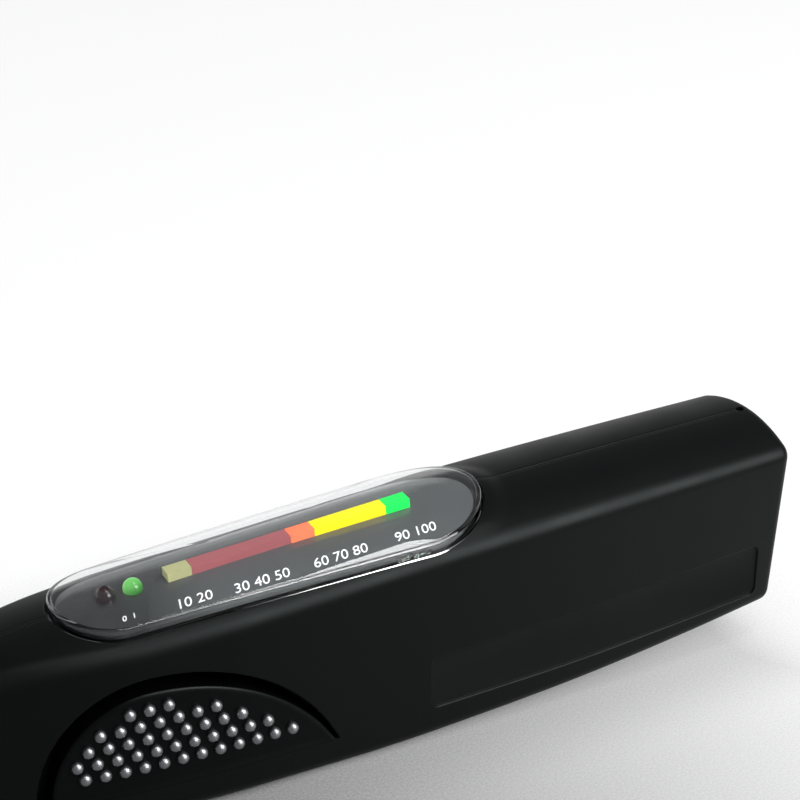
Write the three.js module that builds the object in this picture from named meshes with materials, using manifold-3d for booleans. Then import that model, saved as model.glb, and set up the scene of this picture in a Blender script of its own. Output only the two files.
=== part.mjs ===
// A pen-shaped gem tester with a sprung thermal probe, a lit bar display and a battery bay in its tail.
// X runs from the probe's tip to the tail, Y to the right side and Z up. The belly rests on Z = 0.
import * as THREE from "three";
import { mergeVertices } from "three/addons/utils/BufferGeometryUtils.js";
import Module from "manifold-3d";

const wasm = await Module();
wasm.setup();

// Driving dimensions, in millimetres.
const wall = 1.8;
const fit = 0.3;
const overrun = 5;
const mergeDistance = 0.0001;

// Three cells and the lid under them set the tail's size: two cells side by side, one on top.
const cellDiameter = 10.5;
const cellLength = 44.5;
const sideSpace = 0.65;
const roofSpace = 6.2;
const bayEndSpace = 9.5;
const coverLength = cellLength + bayEndSpace;
const coverMargin = 4.1;
const coverFlange = 1;
const tailRiseShare = 0.181;
const cellLift = wall + 2 * fit + coverFlange;
const cellStack = cellDiameter + ((cellDiameter + fit) * Math.sqrt(3)) / 2;
const caseWidth = 2 * cellDiameter + fit + 2 * (sideSpace + wall);
const caseHeight = (cellLift + cellStack + roofSpace + wall) / (1 - tailRiseShare);
const coverWidth = caseWidth - 2 * coverMargin;

// Display window, which starts where the battery bay ends, and the panel, bar and lamps under it.
const barSetIn = 11.9;
const barWidth = 2.4;
const barTop = 0.95;
const barLengths = [4.2, 12.2, 4, 16.2, 3.9];
const barLength = barLengths.reduce((sum, length) => sum + length);
const lampGap = 5.1;
const lampSetIn = 12.9;
const lampDiameter = 3;
const lampPitch = 4.3;
const lensRear = coverLength - fit;
const barRear = lensRear + barSetIn;
const readyLampPlace = barRear + barLength + lampGap;
const lensFront = readyLampPlace + lampSetIn;
const lensLength = lensFront - lensRear;
const lensFrontMargin = 2.55;
const lensRearMargin = 1.5;
const lensFrontEnd = 10;
const lensRearEnd = 13;
const lensWall = 1;
const lensRoof = 0.8;
const lensRim = 1.9;
const lensDoming = 0.8;
const lensSeat = 1.2;
const lensLedge = 1.5;
const plateThickness = 0.6;

// In front of the window come a fore part, the nose cone and the probe's reach.
const foreLength = 34.4;
const noseLength = 12;
const tipReach = 10;
const caseLength = lensFront + foreLength;
const bodyLength = caseLength + noseLength;
const overallLength = bodyLength + tipReach;

// Half-moon grip, seen from the side.
const gripSetIn = 10.6;
const gripTopPlace = lensFront - gripSetIn;
const gripChordHeight = 5.8;
const gripHeight = 16.7;
const gripRearLength = 29;
const gripFrontLength = 15.5;
const gripGroove = 2;
const gripFloor = 13.6;
const gripCornerShare = 1.75;
const studPitch = 2.94;
const studRise = 2.44;
const studDiameter = 1.5;

// Probe.
const tipDiameter = 1.4;
const tipProud = 6.5;

// The case's outline at shares of bodyLength from the tail: its top and underside as shares of caseHeight,
// its half width of half caseWidth, and its crown, shoulder and bilge radii of the half width there.
const topLineShares = [
  [0, 1], [0.161, 0.982], [0.308, 0.96], [0.513, 0.914], [0.701, 0.85], [0.765, 0.822],
  [0.801, 0.793], [0.842, 0.731], [0.883, 0.647], [0.93, 0.534], [1, 0.41],
];
const underLineShares = [
  [0, tailRiseShare], [0.117, 0.115], [0.235, 0.059], [0.34, 0.025], [0.422, 0.005], [0.469, 0],
  [0.81, 0], [0.865, 0.042], [0.93, 0.141], [1, 0.264],
];
const halfWidthShares = [
  [0, 0.924], [0.147, 0.969], [0.323, 1], [0.569, 0.992], [0.633, 0.962], [0.674, 0.931],
  [0.716, 0.87], [0.754, 0.786], [0.792, 0.687], [0.842, 0.557], [0.883, 0.477], [0.93, 0.405], [1, 0.21],
];
const crownShares = [[0, 2.15], [0.293, 2.15], [0.528, 2], [0.686, 2.4], [0.774, 3.1], [1, 3]];
const shoulderShares = [[0, 0.22], [0.3, 0.25], [0.68, 0.265], [0.8, 0.42], [0.93, 0.75], [1, 0.92]];
const bilgeShares = [[0, 0.2], [0.68, 0.22], [0.8, 0.4], [0.93, 0.75], [1, 0.92]];
const bodyRings = 25;
const innerRings = 15;
const tailRound = 1.8;
const tailRake = 2.6;
const rakeReach = 40;

const colours = {
  caseBlack: 0x1a1b1d,
  padBlack: 0x141416,
  clear: 0xeef2f5,
  panelGrey: 0x74777c,
  steel: 0xc9ccd1,
  copper: 0xb9714a,
  brass: 0xc2a35a,
  boardGreen: 0x1f5a3a,
  chipBlack: 0x202124,
  cellGrey: 0x5c6066,
  leadRed: 0xa8261f,
  leadBlack: 0x1b1b1c,
};

function finish(colour, roughness, metalness = 0) {
  return new THREE.MeshStandardMaterial({ color: colour, roughness, metalness });
}

// A smooth curve through a table of shares that never overshoots its points.
function smoothShare(shares, at) {
  const last = shares.length - 1;
  let i = 0;
  while (i < last - 1 && at > shares[i + 1][0]) i += 1;
  const rise = (k) => (shares[k + 1][1] - shares[k][1]) / (shares[k + 1][0] - shares[k][0]);
  const slope = (k) => {
    if (k === 0 || k === last) return rise(Math.min(k, last - 1));
    const before = rise(k - 1);
    const after = rise(k);
    return before * after <= 0 ? 0 : (2 * before * after) / (before + after);
  };
  const span = shares[i + 1][0] - shares[i][0];
  const t = Math.min(Math.max((at - shares[i][0]) / span, 0), 1);
  return (
    shares[i][1] * (1 - t) ** 2 * (1 + 2 * t) +
    shares[i + 1][1] * t ** 2 * (3 - 2 * t) +
    slope(i) * span * t * (1 - t) ** 2 -
    slope(i + 1) * span * t ** 2 * (1 - t)
  );
}

// Places along the case are given from the tail.
function fromTail(distance) {
  return overallLength / 2 - distance;
}

function sizesAt(distance, inset = 0) {
  const at = distance / bodyLength;
  const halfWidth = (caseWidth / 2) * smoothShare(halfWidthShares, at);
  const crown = halfWidth * smoothShare(crownShares, at) - inset;
  const shoulder = Math.max(halfWidth * smoothShare(shoulderShares, at) - inset, fit);
  const bilge = Math.max(halfWidth * smoothShare(bilgeShares, at) - inset, fit);
  const half = halfWidth - inset;
  const top = caseHeight * smoothShare(topLineShares, at) - inset;
  const under = caseHeight * smoothShare(underLineShares, at) + inset;
  const lean = Math.asin((half - shoulder) / (crown - shoulder));
  const shoulderHeight = top - crown + (crown - shoulder) * Math.cos(lean);
  return { half, top, under, crown, shoulder, bilge, lean, shoulderHeight };
}

// Height of the case's outer face above a point of its plan.
function crownHeight(x, y) {
  const s = sizesAt(overallLength / 2 - x);
  const across = Math.min(Math.abs(y), s.half);
  if (across <= s.crown * Math.sin(s.lean)) return s.top - s.crown + Math.sqrt(s.crown ** 2 - across ** 2);
  return s.shoulderHeight + Math.sqrt(Math.max(s.shoulder ** 2 - (across - s.half + s.shoulder) ** 2, 0));
}

function arc(centreY, centreZ, radius, from, to, steps) {
  const points = [];
  for (let i = 0; i <= steps; i += 1) {
    const angle = from + ((to - from) * i) / steps;
    points.push([centreY + radius * Math.cos(angle), centreZ + radius * Math.sin(angle)]);
  }
  return points;
}

// One cross-section of the case: flat belly, rounded bilge, upright side, round shoulder and arched crown.
function section(distance, inset) {
  const s = sizesAt(distance, inset);
  const right = Math.PI / 2;
  const half = [
    [0, s.under],
    ...arc(s.half - s.bilge, s.under + s.bilge, s.bilge, -right, 0, 3),
    ...arc(s.half - s.shoulder, s.shoulderHeight, s.shoulder, 0, right - s.lean, 5),
    ...arc(0, s.top - s.crown, s.crown, right - s.lean, right, 4).slice(1),
  ];
  const mirrored = half.slice(1, -1).reverse();
  const faceTop = caseHeight - tailRound;
  const fade = Math.max(0, 1 - distance / rakeReach) ** 2;
  const place = ([y, z], side) => {
    const lean = tailRake * fade * ((faceTop - z) / faceTop);
    return new THREE.Vector3(fromTail(distance) - lean, side * y, z);
  };
  return [...half.map((p) => place(p, -1)), ...mirrored.map((p) => place(p, 1))];
}

// A closed skin over rings of equal length, with a fan over each end.
function skinOver(rings) {
  const count = rings[0].length;
  const points = rings.flat();
  const faces = [];
  for (let i = 0; i < rings.length - 1; i += 1) {
    for (let j = 0; j < count; j += 1) {
      const a = i * count + j;
      const b = i * count + ((j + 1) % count);
      faces.push(a, b, a + count, b, b + count, a + count);
    }
  }
  const cap = (ring, offset, turned) => {
    const centre = points.length;
    const middle = ring.reduce((sum, p) => sum.add(p), new THREE.Vector3()).divideScalar(count);
    points.push(middle);
    for (let j = 0; j < count; j += 1) {
      const pair = [offset + j, offset + ((j + 1) % count)];
      if (turned) pair.reverse();
      faces.push(centre, ...pair);
    }
  };
  cap(rings[0], 0, true);
  cap(rings[rings.length - 1], (rings.length - 1) * count, false);
  const geometry = new THREE.BufferGeometry().setFromPoints(points);
  geometry.setIndex(faces);
  return geometry;
}

// The case's outer form, or the space inside it when it is inset, between two distances from the tail.
function bodyForm(from, to, inset = 0, ringCount = bodyRings) {
  const rings = [];
  const roundSteps = inset > 0 ? 0 : 3;
  for (let i = 0; i < roundSteps; i += 1) {
    const angle = (Math.PI / 2) * (i / roundSteps);
    const shrink = inset + tailRound * (1 - Math.sin(angle));
    rings.push(section(from + tailRound * (1 - Math.cos(angle)), shrink));
  }
  const start = inset > 0 ? from : from + tailRound;
  const steps = Math.ceil(((to - start) / bodyLength) * ringCount);
  for (let i = 0; i <= steps; i += 1) rings.push(section(start + ((to - start) * i) / steps, inset));
  return skinOver(rings);
}

function welded(geometry) {
  const bare = geometry.clone();
  bare.deleteAttribute("normal");
  bare.deleteAttribute("uv");
  return mergeVertices(bare, mergeDistance);
}

function solid(geometry) {
  const merged = welded(geometry);
  const mesh = new wasm.Mesh({
    numProp: 3,
    vertProperties: merged.attributes.position.array,
    triVerts: new Uint32Array(merged.index.array),
  });
  return new wasm.Manifold(mesh);
}

function geometryOf(body) {
  const mesh = body.getMesh();
  const geometry = new THREE.BufferGeometry();
  geometry.setAttribute("position", new THREE.BufferAttribute(new Float32Array(mesh.vertProperties), 3));
  geometry.setIndex(new THREE.BufferAttribute(new Uint32Array(mesh.triVerts), 1));
  geometry.computeVertexNormals();
  return geometry;
}

function meshOf(name, shape, material) {
  const geometry = shape instanceof THREE.BufferGeometry ? shape : geometryOf(shape);
  const mesh = new THREE.Mesh(geometry, material);
  mesh.name = name;
  return mesh;
}

// A block between two corners.
function block(low, high) {
  const size = high.map((value, i) => value - low[i]);
  const middle = high.map((value, i) => (value + low[i]) / 2);
  return new THREE.BoxGeometry(...size).translate(...middle);
}

// Turns a shape made along Y so that it runs along X or Z.
const alongX = (geometry) => geometry.rotateZ(-Math.PI / 2);
const alongZ = (geometry) => geometry.rotateX(Math.PI / 2);

function rod(radius, from, to, sides = 20) {
  return new THREE.CylinderGeometry(radius, radius, to - from, sides).translate(0, (from + to) / 2, 0);
}

function turned(profile, sides = 20) {
  return new THREE.LatheGeometry(profile.map(([r, h]) => new THREE.Vector2(r, h)), sides);
}

// A geometry moved as the group that holds it is placed, for cutting its seat in another piece.
function placed(geometry, group) {
  group.updateMatrixWorld(true);
  return geometry.clone().applyMatrix4(group.matrixWorld);
}

// The same geometry on the other side of the mid-plane, with its faces turned to look out again.
function mirrored(geometry) {
  const flipped = welded(geometry).scale(1, -1, 1);
  const index = flipped.index.array;
  for (let i = 0; i < index.length; i += 3) [index[i], index[i + 1]] = [index[i + 1], index[i]];
  return flipped;
}

// The window's outline in plan, grown by an offset: two half ellipses joined by slightly spread sides.
const lensRearHalf = sizesAt(lensRear + lensRearEnd).half - lensRearMargin;
const lensFrontHalf = sizesAt(lensFront - lensFrontEnd).half - lensFrontMargin;

function lensOutline(offset) {
  const rearCentre = fromTail(lensRear + lensRearEnd);
  const frontCentre = fromTail(lensFront - lensFrontEnd);
  const rear = arc(rearCentre, 0, 1, -Math.PI / 2, Math.PI / 2, 12);
  const front = arc(frontCentre, 0, 1, Math.PI / 2, (3 * Math.PI) / 2, 12);
  const stretch = (points, centre, length, half) =>
    points.map(([x, y]) => new THREE.Vector2(centre + (x - centre) * (length + offset), y * (half + offset)));
  return [
    ...stretch(rear, rearCentre, lensRearEnd, lensRearHalf),
    ...stretch(front, frontCentre, lensFrontEnd, lensFrontHalf),
  ];
}

// A sheet over an outline whose two faces follow height rules, as rings that shrink to its middle.
function sheetOver(outline, lowHeight, topHeight, steps = 5) {
  const middle = new THREE.Vector2(fromTail(lensRear + lensLength / 2), 0);
  const ring = (share, height) =>
    outline.map((p) => {
      const q = middle.clone().lerp(p, share);
      return new THREE.Vector3(q.x, q.y, height(q.x, q.y, share));
    });
  const rings = [];
  for (let i = 1; i <= steps; i += 1) rings.push(ring(i / steps, lowHeight));
  for (let i = steps; i >= 1; i -= 1) rings.push(ring(i / steps, topHeight));
  return skinOver(rings);
}

// How high the window's outer face stands: a steady rim, and a little more towards the middle.
function lensTop(x, y, share) {
  return crownHeight(x, y) + lensRim + lensDoming * (1 - share ** 2);
}

// The grip's outline seen from the side, grown by an offset: a long arc to the rear, a quarter ellipse in front.
function gripOutline(offset, groove = 0) {
  const topX = fromTail(gripTopPlace);
  const chord = gripChordHeight - offset;
  const rise = gripHeight + offset * 2 + groove;
  const rear = gripRearLength + offset * gripCornerShare;
  const front = gripFrontLength + offset + groove;
  const radius = (rear ** 2 + rise ** 2) / (2 * rise);
  const sweep = Math.asin(Math.min(rear / radius, 1));
  const shape = new THREE.Shape();
  shape.moveTo(topX + rear, chord);
  arc(topX, chord + rise - radius, radius, Math.PI / 2 - sweep, Math.PI / 2, 14).forEach(([x, z], i) => {
    if (i > 0) shape.lineTo(x, z);
  });
  for (let i = 1; i <= 9; i += 1) {
    const angle = Math.PI / 2 + (Math.PI / 2) * (i / 9);
    shape.lineTo(topX + front * Math.cos(angle), chord + rise * Math.sin(angle));
  }
  shape.closePath();
  return shape;
}

// Extrudes a shape drawn in X and Z across Y, from one Y to another.
function across(shape, from, to) {
  const geometry = new THREE.ExtrudeGeometry(shape, { depth: to - from, bevelEnabled: false });
  return geometry.rotateX(Math.PI / 2).translate(0, to, 0);
}

const caseOuter = solid(bodyForm(0, caseLength));
const caseInner = solid(bodyForm(wall, bodyLength, wall, innerRings));
const lensMiddle = fromTail(lensRear + lensLength / 2);
const lensMiddleHeight = crownHeight(lensMiddle, 0);
const deckRise = crownHeight(fromTail(lensRear), 0) - crownHeight(fromTail(lensFront), 0);
const deckSlope = Math.atan(deckRise / lensLength);

// The electronics sit square to the display, which rises towards the tail.
const electronics = new THREE.Group();
electronics.position.set(lensMiddle, 0, lensMiddleHeight);
electronics.rotation.y = -deckSlope;
const alongDeck = (distance) => (fromTail(distance) - lensMiddle) / Math.cos(deckSlope);

// Board and what stands on it.
const boardDepth = 8;
const boardThickness = 1.2;
const boardSetIn = 5.8;
const boardWideLength = 29;
const boardMidReach = 3.4;
const boardTip = 7.4;
const buttonSetOut = 12;
const buttonPlace = lensFront + buttonSetOut;
const boardRear = lensRear + boardSetIn;
const boardWideFront = boardRear + boardWideLength;
const boardMidFront = lensFront + boardMidReach;
const boardFront = buttonPlace + boardTip;
const boardStops = [boardRear, boardWideFront, boardMidFront, boardFront];
const boardWidths = [17.4, 11, 8.4];
const chipSetOut = 12;
const chipSize = 8;
const chipHeight = 1.5;
const buzzerSetIn = 9;
const buzzerRadius = 6;
const buzzerHeight = 6;
const buzzerHole = 1;
const buzzerHoleDepth = 2;

function boardShape() {
  const stops = boardStops.map(alongDeck);
  const corners = [];
  boardWidths.forEach((width, i) => corners.push([stops[i], width / 2], [stops[i + 1], width / 2]));
  const shape = new THREE.Shape();
  shape.moveTo(...corners[0]);
  corners.slice(1).forEach((p) => shape.lineTo(...p));
  corners.reverse().forEach(([x, y]) => shape.lineTo(x, -y));
  shape.closePath();
  return shape;
}

function addBoard() {
  const board = new THREE.ExtrudeGeometry(boardShape(), { depth: boardThickness, bevelEnabled: false });
  board.translate(0, 0, -boardDepth - boardThickness);
  electronics.add(meshOf("main_board", board, finish(colours.boardGreen, 0.5)));
  const under = -boardDepth - boardThickness - fit;
  const chipX = alongDeck(boardWideFront + chipSetOut);
  const chipBody = block(
    [chipX - chipSize / 2, -chipSize / 2, under - chipHeight],
    [chipX + chipSize / 2, chipSize / 2, under],
  );
  electronics.add(meshOf("controller_chip", chipBody, finish(colours.chipBlack, 0.5)));
  const can = [
    [0, 0], [buzzerRadius, 0], [buzzerRadius, -buzzerHeight], [buzzerHole, -buzzerHeight],
    [buzzerHole, buzzerHoleDepth - buzzerHeight], [0, buzzerHoleDepth - buzzerHeight],
  ].reverse();
  const buzzerBody = alongZ(turned(can)).translate(alongDeck(boardWideFront - buzzerSetIn), 0, under);
  electronics.add(meshOf("buzzer", buzzerBody, finish(colours.chipBlack, 0.6)));
}

const barSplit = 0.1;
const lampFlange = 0.35;
const lampFlangeHeight = 1;
const lampHeight = 5.3;
const lampTop = 0.85;
const lampLead = 0.5;
const lampLeadSpread = 1.3;

function barBlock(rear, length, width, low, high) {
  return block(
    [alongDeck(rear + length), -width / 2, low],
    [alongDeck(rear), width / 2, high],
  );
}

function lampBody(place, material, name) {
  const radius = lampDiameter / 2;
  const foot = lampTop - lampHeight;
  const dome = arc(0, lampTop - radius, radius, 0, Math.PI / 2, 4);
  const profile = [[0, foot], [radius + lampFlange, foot], [radius + lampFlange, foot + lampFlangeHeight]];
  profile.push([radius, foot + lampFlangeHeight], ...dome.slice(0, -1), [0, lampTop]);
  let body = solid(turned(profile, 16).rotateX(Math.PI / 2));
  for (const side of [-1, 1]) {
    const lead = block(
      [side * lampLeadSpread - lampLead / 2, -lampLead / 2, -boardDepth + fit],
      [side * lampLeadSpread + lampLead / 2, lampLead / 2, foot + lampFlangeHeight / 2],
    );
    body = body.add(solid(lead));
  }
  const mesh = meshOf(name, body, material);
  mesh.position.x = alongDeck(place);
  return mesh;
}

function addLights() {
  const hues = [0x2fe84a, 0xffd21f, 0xff8a2a, 0xe23b2c, 0xe6f29a];
  let rear = barRear;
  barLengths.forEach((length, i) => {
    const piece = barBlock(rear, length - barSplit, barWidth, -boardDepth + fit, barTop);
    electronics.add(meshOf(`bar_range_${barLengths.length - i}`, piece, finish(hues[i], 0.35)));
    rear += length;
  });
  electronics.add(lampBody(readyLampPlace, finish(0x3cf060, 0.2), "ready_led"));
  electronics.add(lampBody(readyLampPlace + lampPitch, finish(0x6b1420, 0.2), "warning_led"));
}

// Clear window: a domed shell whose skirt stands in a rebate of the case.
function lensShape() {
  const skirt = (x, y) => crownHeight(x, y) - lensSeat + fit;
  const outer = solid(sheetOver(lensOutline(0), skirt, lensTop, 6));
  const inner = sheetOver(
    lensOutline(-lensWall),
    (x, y) => crownHeight(x, y) - lensSeat - overrun,
    (x, y, share) => lensTop(x, y, share) - lensRoof,
  );
  return outer.subtract(solid(inner));
}

// Display panel: it follows the crown inside the window's skirt, with a slot for the bar and two lamp holes.
function plateShape() {
  const low = (x, y) => crownHeight(x, y) - lensSeat + fit;
  const top = (x, y) => low(x, y) + plateThickness;
  let plate = solid(sheetOver(lensOutline(-lensWall - fit), low, top));
  const slot = barBlock(barRear - fit, barLength + 2 * fit, barWidth + 2 * fit, -overrun, overrun);
  plate = plate.subtract(solid(placed(slot, electronics)));
  for (const place of [readyLampPlace, readyLampPlace + lampPitch]) {
    const hole = alongZ(rod(lampDiameter / 2 + fit, -overrun, overrun, 16)).translate(alongDeck(place), 0, 0);
    plate = plate.subtract(solid(placed(hole, electronics)));
  }
  return plate;
}

// Grip: a stamped contact plate whose studs stand through a moulded pad, in a recess of each half.
const padInset = 0.2;
const gripPlateThickness = 0.5;
const gripBacking = 1;
const studProud = 0.7;
const studMargin = 1.2;
const studReach = 10.55;
const studLift = 4.3;
const studCounts = [12, 11, 9, 7, 3];
const studStartShares = [0, -0.36, 0.24, 0.88, 2.41];
const studTiltShare = 0.012;

// The rows fan out a little: each starts at its own share of the pitch and tilts more than the one below.
function studPlaces() {
  const top = fromTail(gripTopPlace);
  return studCounts.flatMap((count, row) =>
    Array.from({ length: count }, (_, i) => {
      const x = top - studReach + (studStartShares[row] + i) * studPitch;
      const z = gripChordHeight + studLift + row * (studRise + studTiltShare * (x - top));
      return { x, z };
    }),
  );
}

function gripPad() {
  const surface = solid(bodyForm(0, caseLength, padInset));
  const back = -(gripFloor / 2 + gripPlateThickness + 2 * fit);
  let pad = solid(across(gripOutline(0), -caseWidth, back)).intersect(surface);
  for (const { x, z } of studPlaces()) {
    const hole = rod(studDiameter / 2 + fit, -caseWidth, 0, 6).translate(x, 0, z);
    pad = pad.subtract(solid(hole));
  }
  return geometryOf(pad);
}

function gripContact() {
  const back = -(gripFloor / 2 + fit);
  let contact = solid(across(gripOutline(-studMargin), back - gripPlateThickness, back));
  const radius = studDiameter / 2;
  for (const { x, z } of studPlaces()) {
    const surface = sizesAt(overallLength / 2 - x).half;
    const shank = surface + studProud - radius;
    const profile = [[0, -back + gripPlateThickness / 2], [radius, -back + gripPlateThickness / 2]];
    profile.push(...arc(0, shank, radius, 0, Math.PI / 2, 2).slice(0, -1), [0, shank + radius]);
    contact = contact.add(solid(turned(profile, 7).rotateX(Math.PI).translate(x, 0, z)));
  }
  return geometryOf(contact);
}

// Battery bay, square to the sloping underside. Its own X runs along the slope.
const bay = new THREE.Group();
const bayFrontHeight = sizesAt(coverLength).under;
const bayRise = sizesAt(0).under - bayFrontHeight;
bay.position.set(fromTail(coverLength), 0, bayFrontHeight);
bay.rotation.y = -Math.atan(bayRise / coverLength);
const coverFlangeSide = 1.2;
const cellFront = 2.6;
const cellCrown = 0.8;
const cellNubRadius = 1.9;
const contactThickness = 0.5;
const contactInset = 1;
const contactWidth = 2 * (cellDiameter - contactInset);
const contactGap = 0.4;
const coverGripCount = 3;
const coverGripPitch = 2.4;
const coverGripWidth = 1;
const coverGripDepth = 0.4;
const coverGripLength = 10;
const coverGripPlace = 8;

// The lid's T-shaped section, run along the slope past both ends, grown by a clearance.
function coverRun(start, grow) {
  const half = coverWidth / 2 + grow;
  const flange = half + coverFlangeSide;
  const seat = wall + fit - grow;
  const top = wall + fit + coverFlange + grow;
  const shape = new THREE.Shape();
  const corners = [[-half, -overrun], [half, -overrun], [half, seat], [flange, seat], [flange, top]];
  shape.moveTo(...corners[0]);
  corners.slice(1).forEach((p) => shape.lineTo(...p));
  [...corners].reverse().slice(0, 3).forEach(([y, z]) => shape.lineTo(-y, z));
  shape.closePath();
  const run = new THREE.ExtrudeGeometry(shape, { depth: coverLength + overrun - start, bevelEnabled: false });
  return run.rotateX(Math.PI / 2).rotateZ(Math.PI / 2).translate(start, 0, 0);
}

function coverShape() {
  let lid = solid(placed(coverRun(fit, 0), bay)).intersect(caseOuter);
  for (let i = 0; i < coverGripCount; i += 1) {
    const at = coverGripPlace + i * coverGripPitch;
    const groove = block(
      [at, -coverGripLength / 2, -overrun],
      [at + coverGripWidth, coverGripLength / 2, coverGripDepth],
    );
    lid = lid.subtract(solid(placed(groove, bay)));
  }
  return geometryOf(lid);
}

function cellPlaces() {
  const low = cellLift + cellDiameter / 2;
  const side = (cellDiameter + fit) / 2;
  return [[-side, low], [side, low], [0, low + side * Math.sqrt(3)]];
}

function addCells() {
  const radius = cellDiameter / 2;
  cellPlaces().forEach(([y, z], i) => {
    const turnedRound = i === 1;
    const profile = [
      [0, 0], [radius, 0], [radius, cellLength - cellCrown], [cellNubRadius, cellLength - cellCrown],
      [cellNubRadius, cellLength], [0, cellLength],
    ];
    const cell = alongX(turned(profile, 18));
    if (turnedRound) cell.rotateZ(Math.PI).translate(cellLength, 0, 0);
    const mesh = meshOf(`battery_${i + 1}`, cell, finish(colours.cellGrey, 0.4, 0.5));
    mesh.position.set(cellFront, y, z);
    bay.add(mesh);
  });
}

// The room round the cells, which the case's side walls are scooped out for.
function cellRoom() {
  const rooms = cellPlaces().map(([y, z]) => {
    const room = rod(cellDiameter / 2 + fit, cellFront - contactGap, cellFront + cellLength + contactGap, 18);
    return solid(placed(alongX(room).translate(0, y, z), bay));
  });
  return rooms.reduce((sum, room) => sum.add(room));
}

// A stamped plate across the cells' ends, with a pressed pip against each cell.
function contactShape(face, pipSide) {
  const low = wall + fit + coverFlange + contactGap;
  const high = cellPlaces()[2][1] + cellDiameter / 3;
  const back = face - pipSide * contactThickness;
  const plate = block(
    [Math.min(face, back), -contactWidth / 2, low],
    [Math.max(face, back), contactWidth / 2, high],
  );
  let contact = solid(plate);
  for (const [y, z] of cellPlaces()) {
    const pip = [[0, 0], [cellNubRadius, 0], [cellNubRadius / 2, contactGap + contactThickness / 2]];
    pip.push([0, contactGap + contactThickness / 2]);
    const dome = turned(pip, 10).rotateZ((-pipSide * Math.PI) / 2);
    dome.translate(face - (pipSide * contactThickness) / 2, y, z);
    contact = contact.add(solid(dome));
  }
  return geometryOf(contact);
}

function addContacts() {
  const steel = finish(colours.steel, 0.35, 1);
  const space = contactGap + fit;
  bay.add(meshOf("battery_contact_front", contactShape(cellFront - space, 1), steel));
  bay.add(meshOf("battery_contact_rear", contactShape(cellFront + cellLength + space, -1), steel));
}

// Probe, on a level axis through the middle of the nose.
const noseSizes = sizesAt(caseLength);
const probe = new THREE.Group();
probe.position.set(fromTail(overallLength), 0, (noseSizes.top + noseSizes.under) / 2);
const housingRadius = 2.3;
const housingBore = 1.7;
const housingSetBack = 3;
const housingLength = 27;
const housingFront = tipReach + housingSetBack;
const housingRear = housingFront + housingLength;
const housingEnd = 1;
const cableRadius = 0.7;
const plungerRadius = 1.35;
const plungerLength = 15;
const plungerFront = housingFront;
const plungerRear = plungerFront + plungerLength;
const tipPointRadius = 0.3;
const tipPointLength = 2.4;
const bushRadius = 2.6;
const bushNoseRadius = 1.3;
const bushStem = 1.9;
const springRadius = 1.15;
const springWire = 0.4;
const springTurns = 7;
const noseSpigot = 4;

function addProbe() {
  const brass = finish(colours.brass, 0.35, 1);
  const steel = finish(colours.steel, 0.3, 1);
  const tip = [
    [0, 0], [tipPointRadius, 0], [tipDiameter / 2, tipPointLength],
    [tipDiameter / 2, plungerFront - fit], [0, plungerFront - fit],
  ];
  probe.add(meshOf("probe_tip", alongX(turned(tip, 16)), finish(colours.copper, 0.35, 1)));
  const plunger = alongX(rod(plungerRadius, plungerFront, plungerRear, 16));
  probe.add(meshOf("probe_plunger", plunger, steel));
  const housing = [
    [housingBore, housingFront], [housingRadius, housingFront], [housingRadius, housingRear],
    [cableRadius, housingRear], [cableRadius, housingRear - housingEnd],
    [housingBore, housingRear - housingEnd], [housingBore, housingFront],
  ];
  probe.add(meshOf("probe_housing", alongX(turned(housing)), brass));
  const bore = tipDiameter / 2 + fit;
  const bush = [
    [bore, tipProud], [bushNoseRadius, tipProud], [bushRadius, tipReach - fit], [bushStem, tipReach - fit],
    [bushStem, housingFront - fit], [bore, housingFront - fit], [bore, tipProud],
  ];
  probe.add(meshOf("probe_bush", alongX(turned(bush)), steel));
  probe.add(meshOf("probe_spring", springShape(), steel));
}

// The return spring: one wound wire between the plunger's end and the housing's closed end.
function springShape() {
  const start = plungerRear + fit + springWire / 2;
  const length = housingRear - housingEnd - fit - springWire / 2 - start;
  const stepsPerTurn = 8;
  const points = [];
  for (let i = 0; i <= springTurns * stepsPerTurn; i += 1) {
    const angle = (i / stepsPerTurn) * 2 * Math.PI;
    const at = start + (length * i) / (springTurns * stepsPerTurn);
    points.push(new THREE.Vector3(at, springRadius * Math.cos(angle), springRadius * Math.sin(angle)));
  }
  return tubeAlong(points, springWire / 2, 5, springTurns * stepsPerTurn);
}

function tubeAlong(points, radius, sides, steps) {
  const ring = new THREE.Shape();
  for (let i = 0; i < sides; i += 1) {
    const angle = (i / sides) * 2 * Math.PI;
    const corner = [radius * Math.cos(angle), radius * Math.sin(angle)];
    if (i === 0) ring.moveTo(...corner);
    else ring.lineTo(...corner);
  }
  ring.closePath();
  const path = new THREE.CatmullRomCurve3(points);
  return new THREE.ExtrudeGeometry(ring, { steps, extrudePath: path, bevelEnabled: false });
}

// The nose cone goes on from the case's front edge, with a spigot that plugs into it.
function noseShape() {
  const form = solid(bodyForm(caseLength + fit, bodyLength, mergeDistance));
  const spigot = solid(bodyForm(caseLength - noseSpigot, caseLength + 2 * fit, wall + fit));
  const boreRear = overallLength - caseLength + noseSpigot + overrun;
  const housingHole = alongX(rod(housingRadius + fit, housingFront - fit, boreRear));
  const stemHole = alongX(rod(bushStem + fit, 0, housingFront));
  return form
    .add(spigot)
    .subtract(solid(placed(housingHole, probe)))
    .subtract(solid(placed(stemHole, probe)));
}

// Power button on the nose, over a small switch on the board's tongue.
const buttonRadius = 2.8;
const buttonProud = 0.6;
const buttonFlange = 0.9;
const buttonFlangeHeight = 0.7;
const buttonFoot = 5.4;
const switchSize = 6;
const switchHeight = 1.7;

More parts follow.
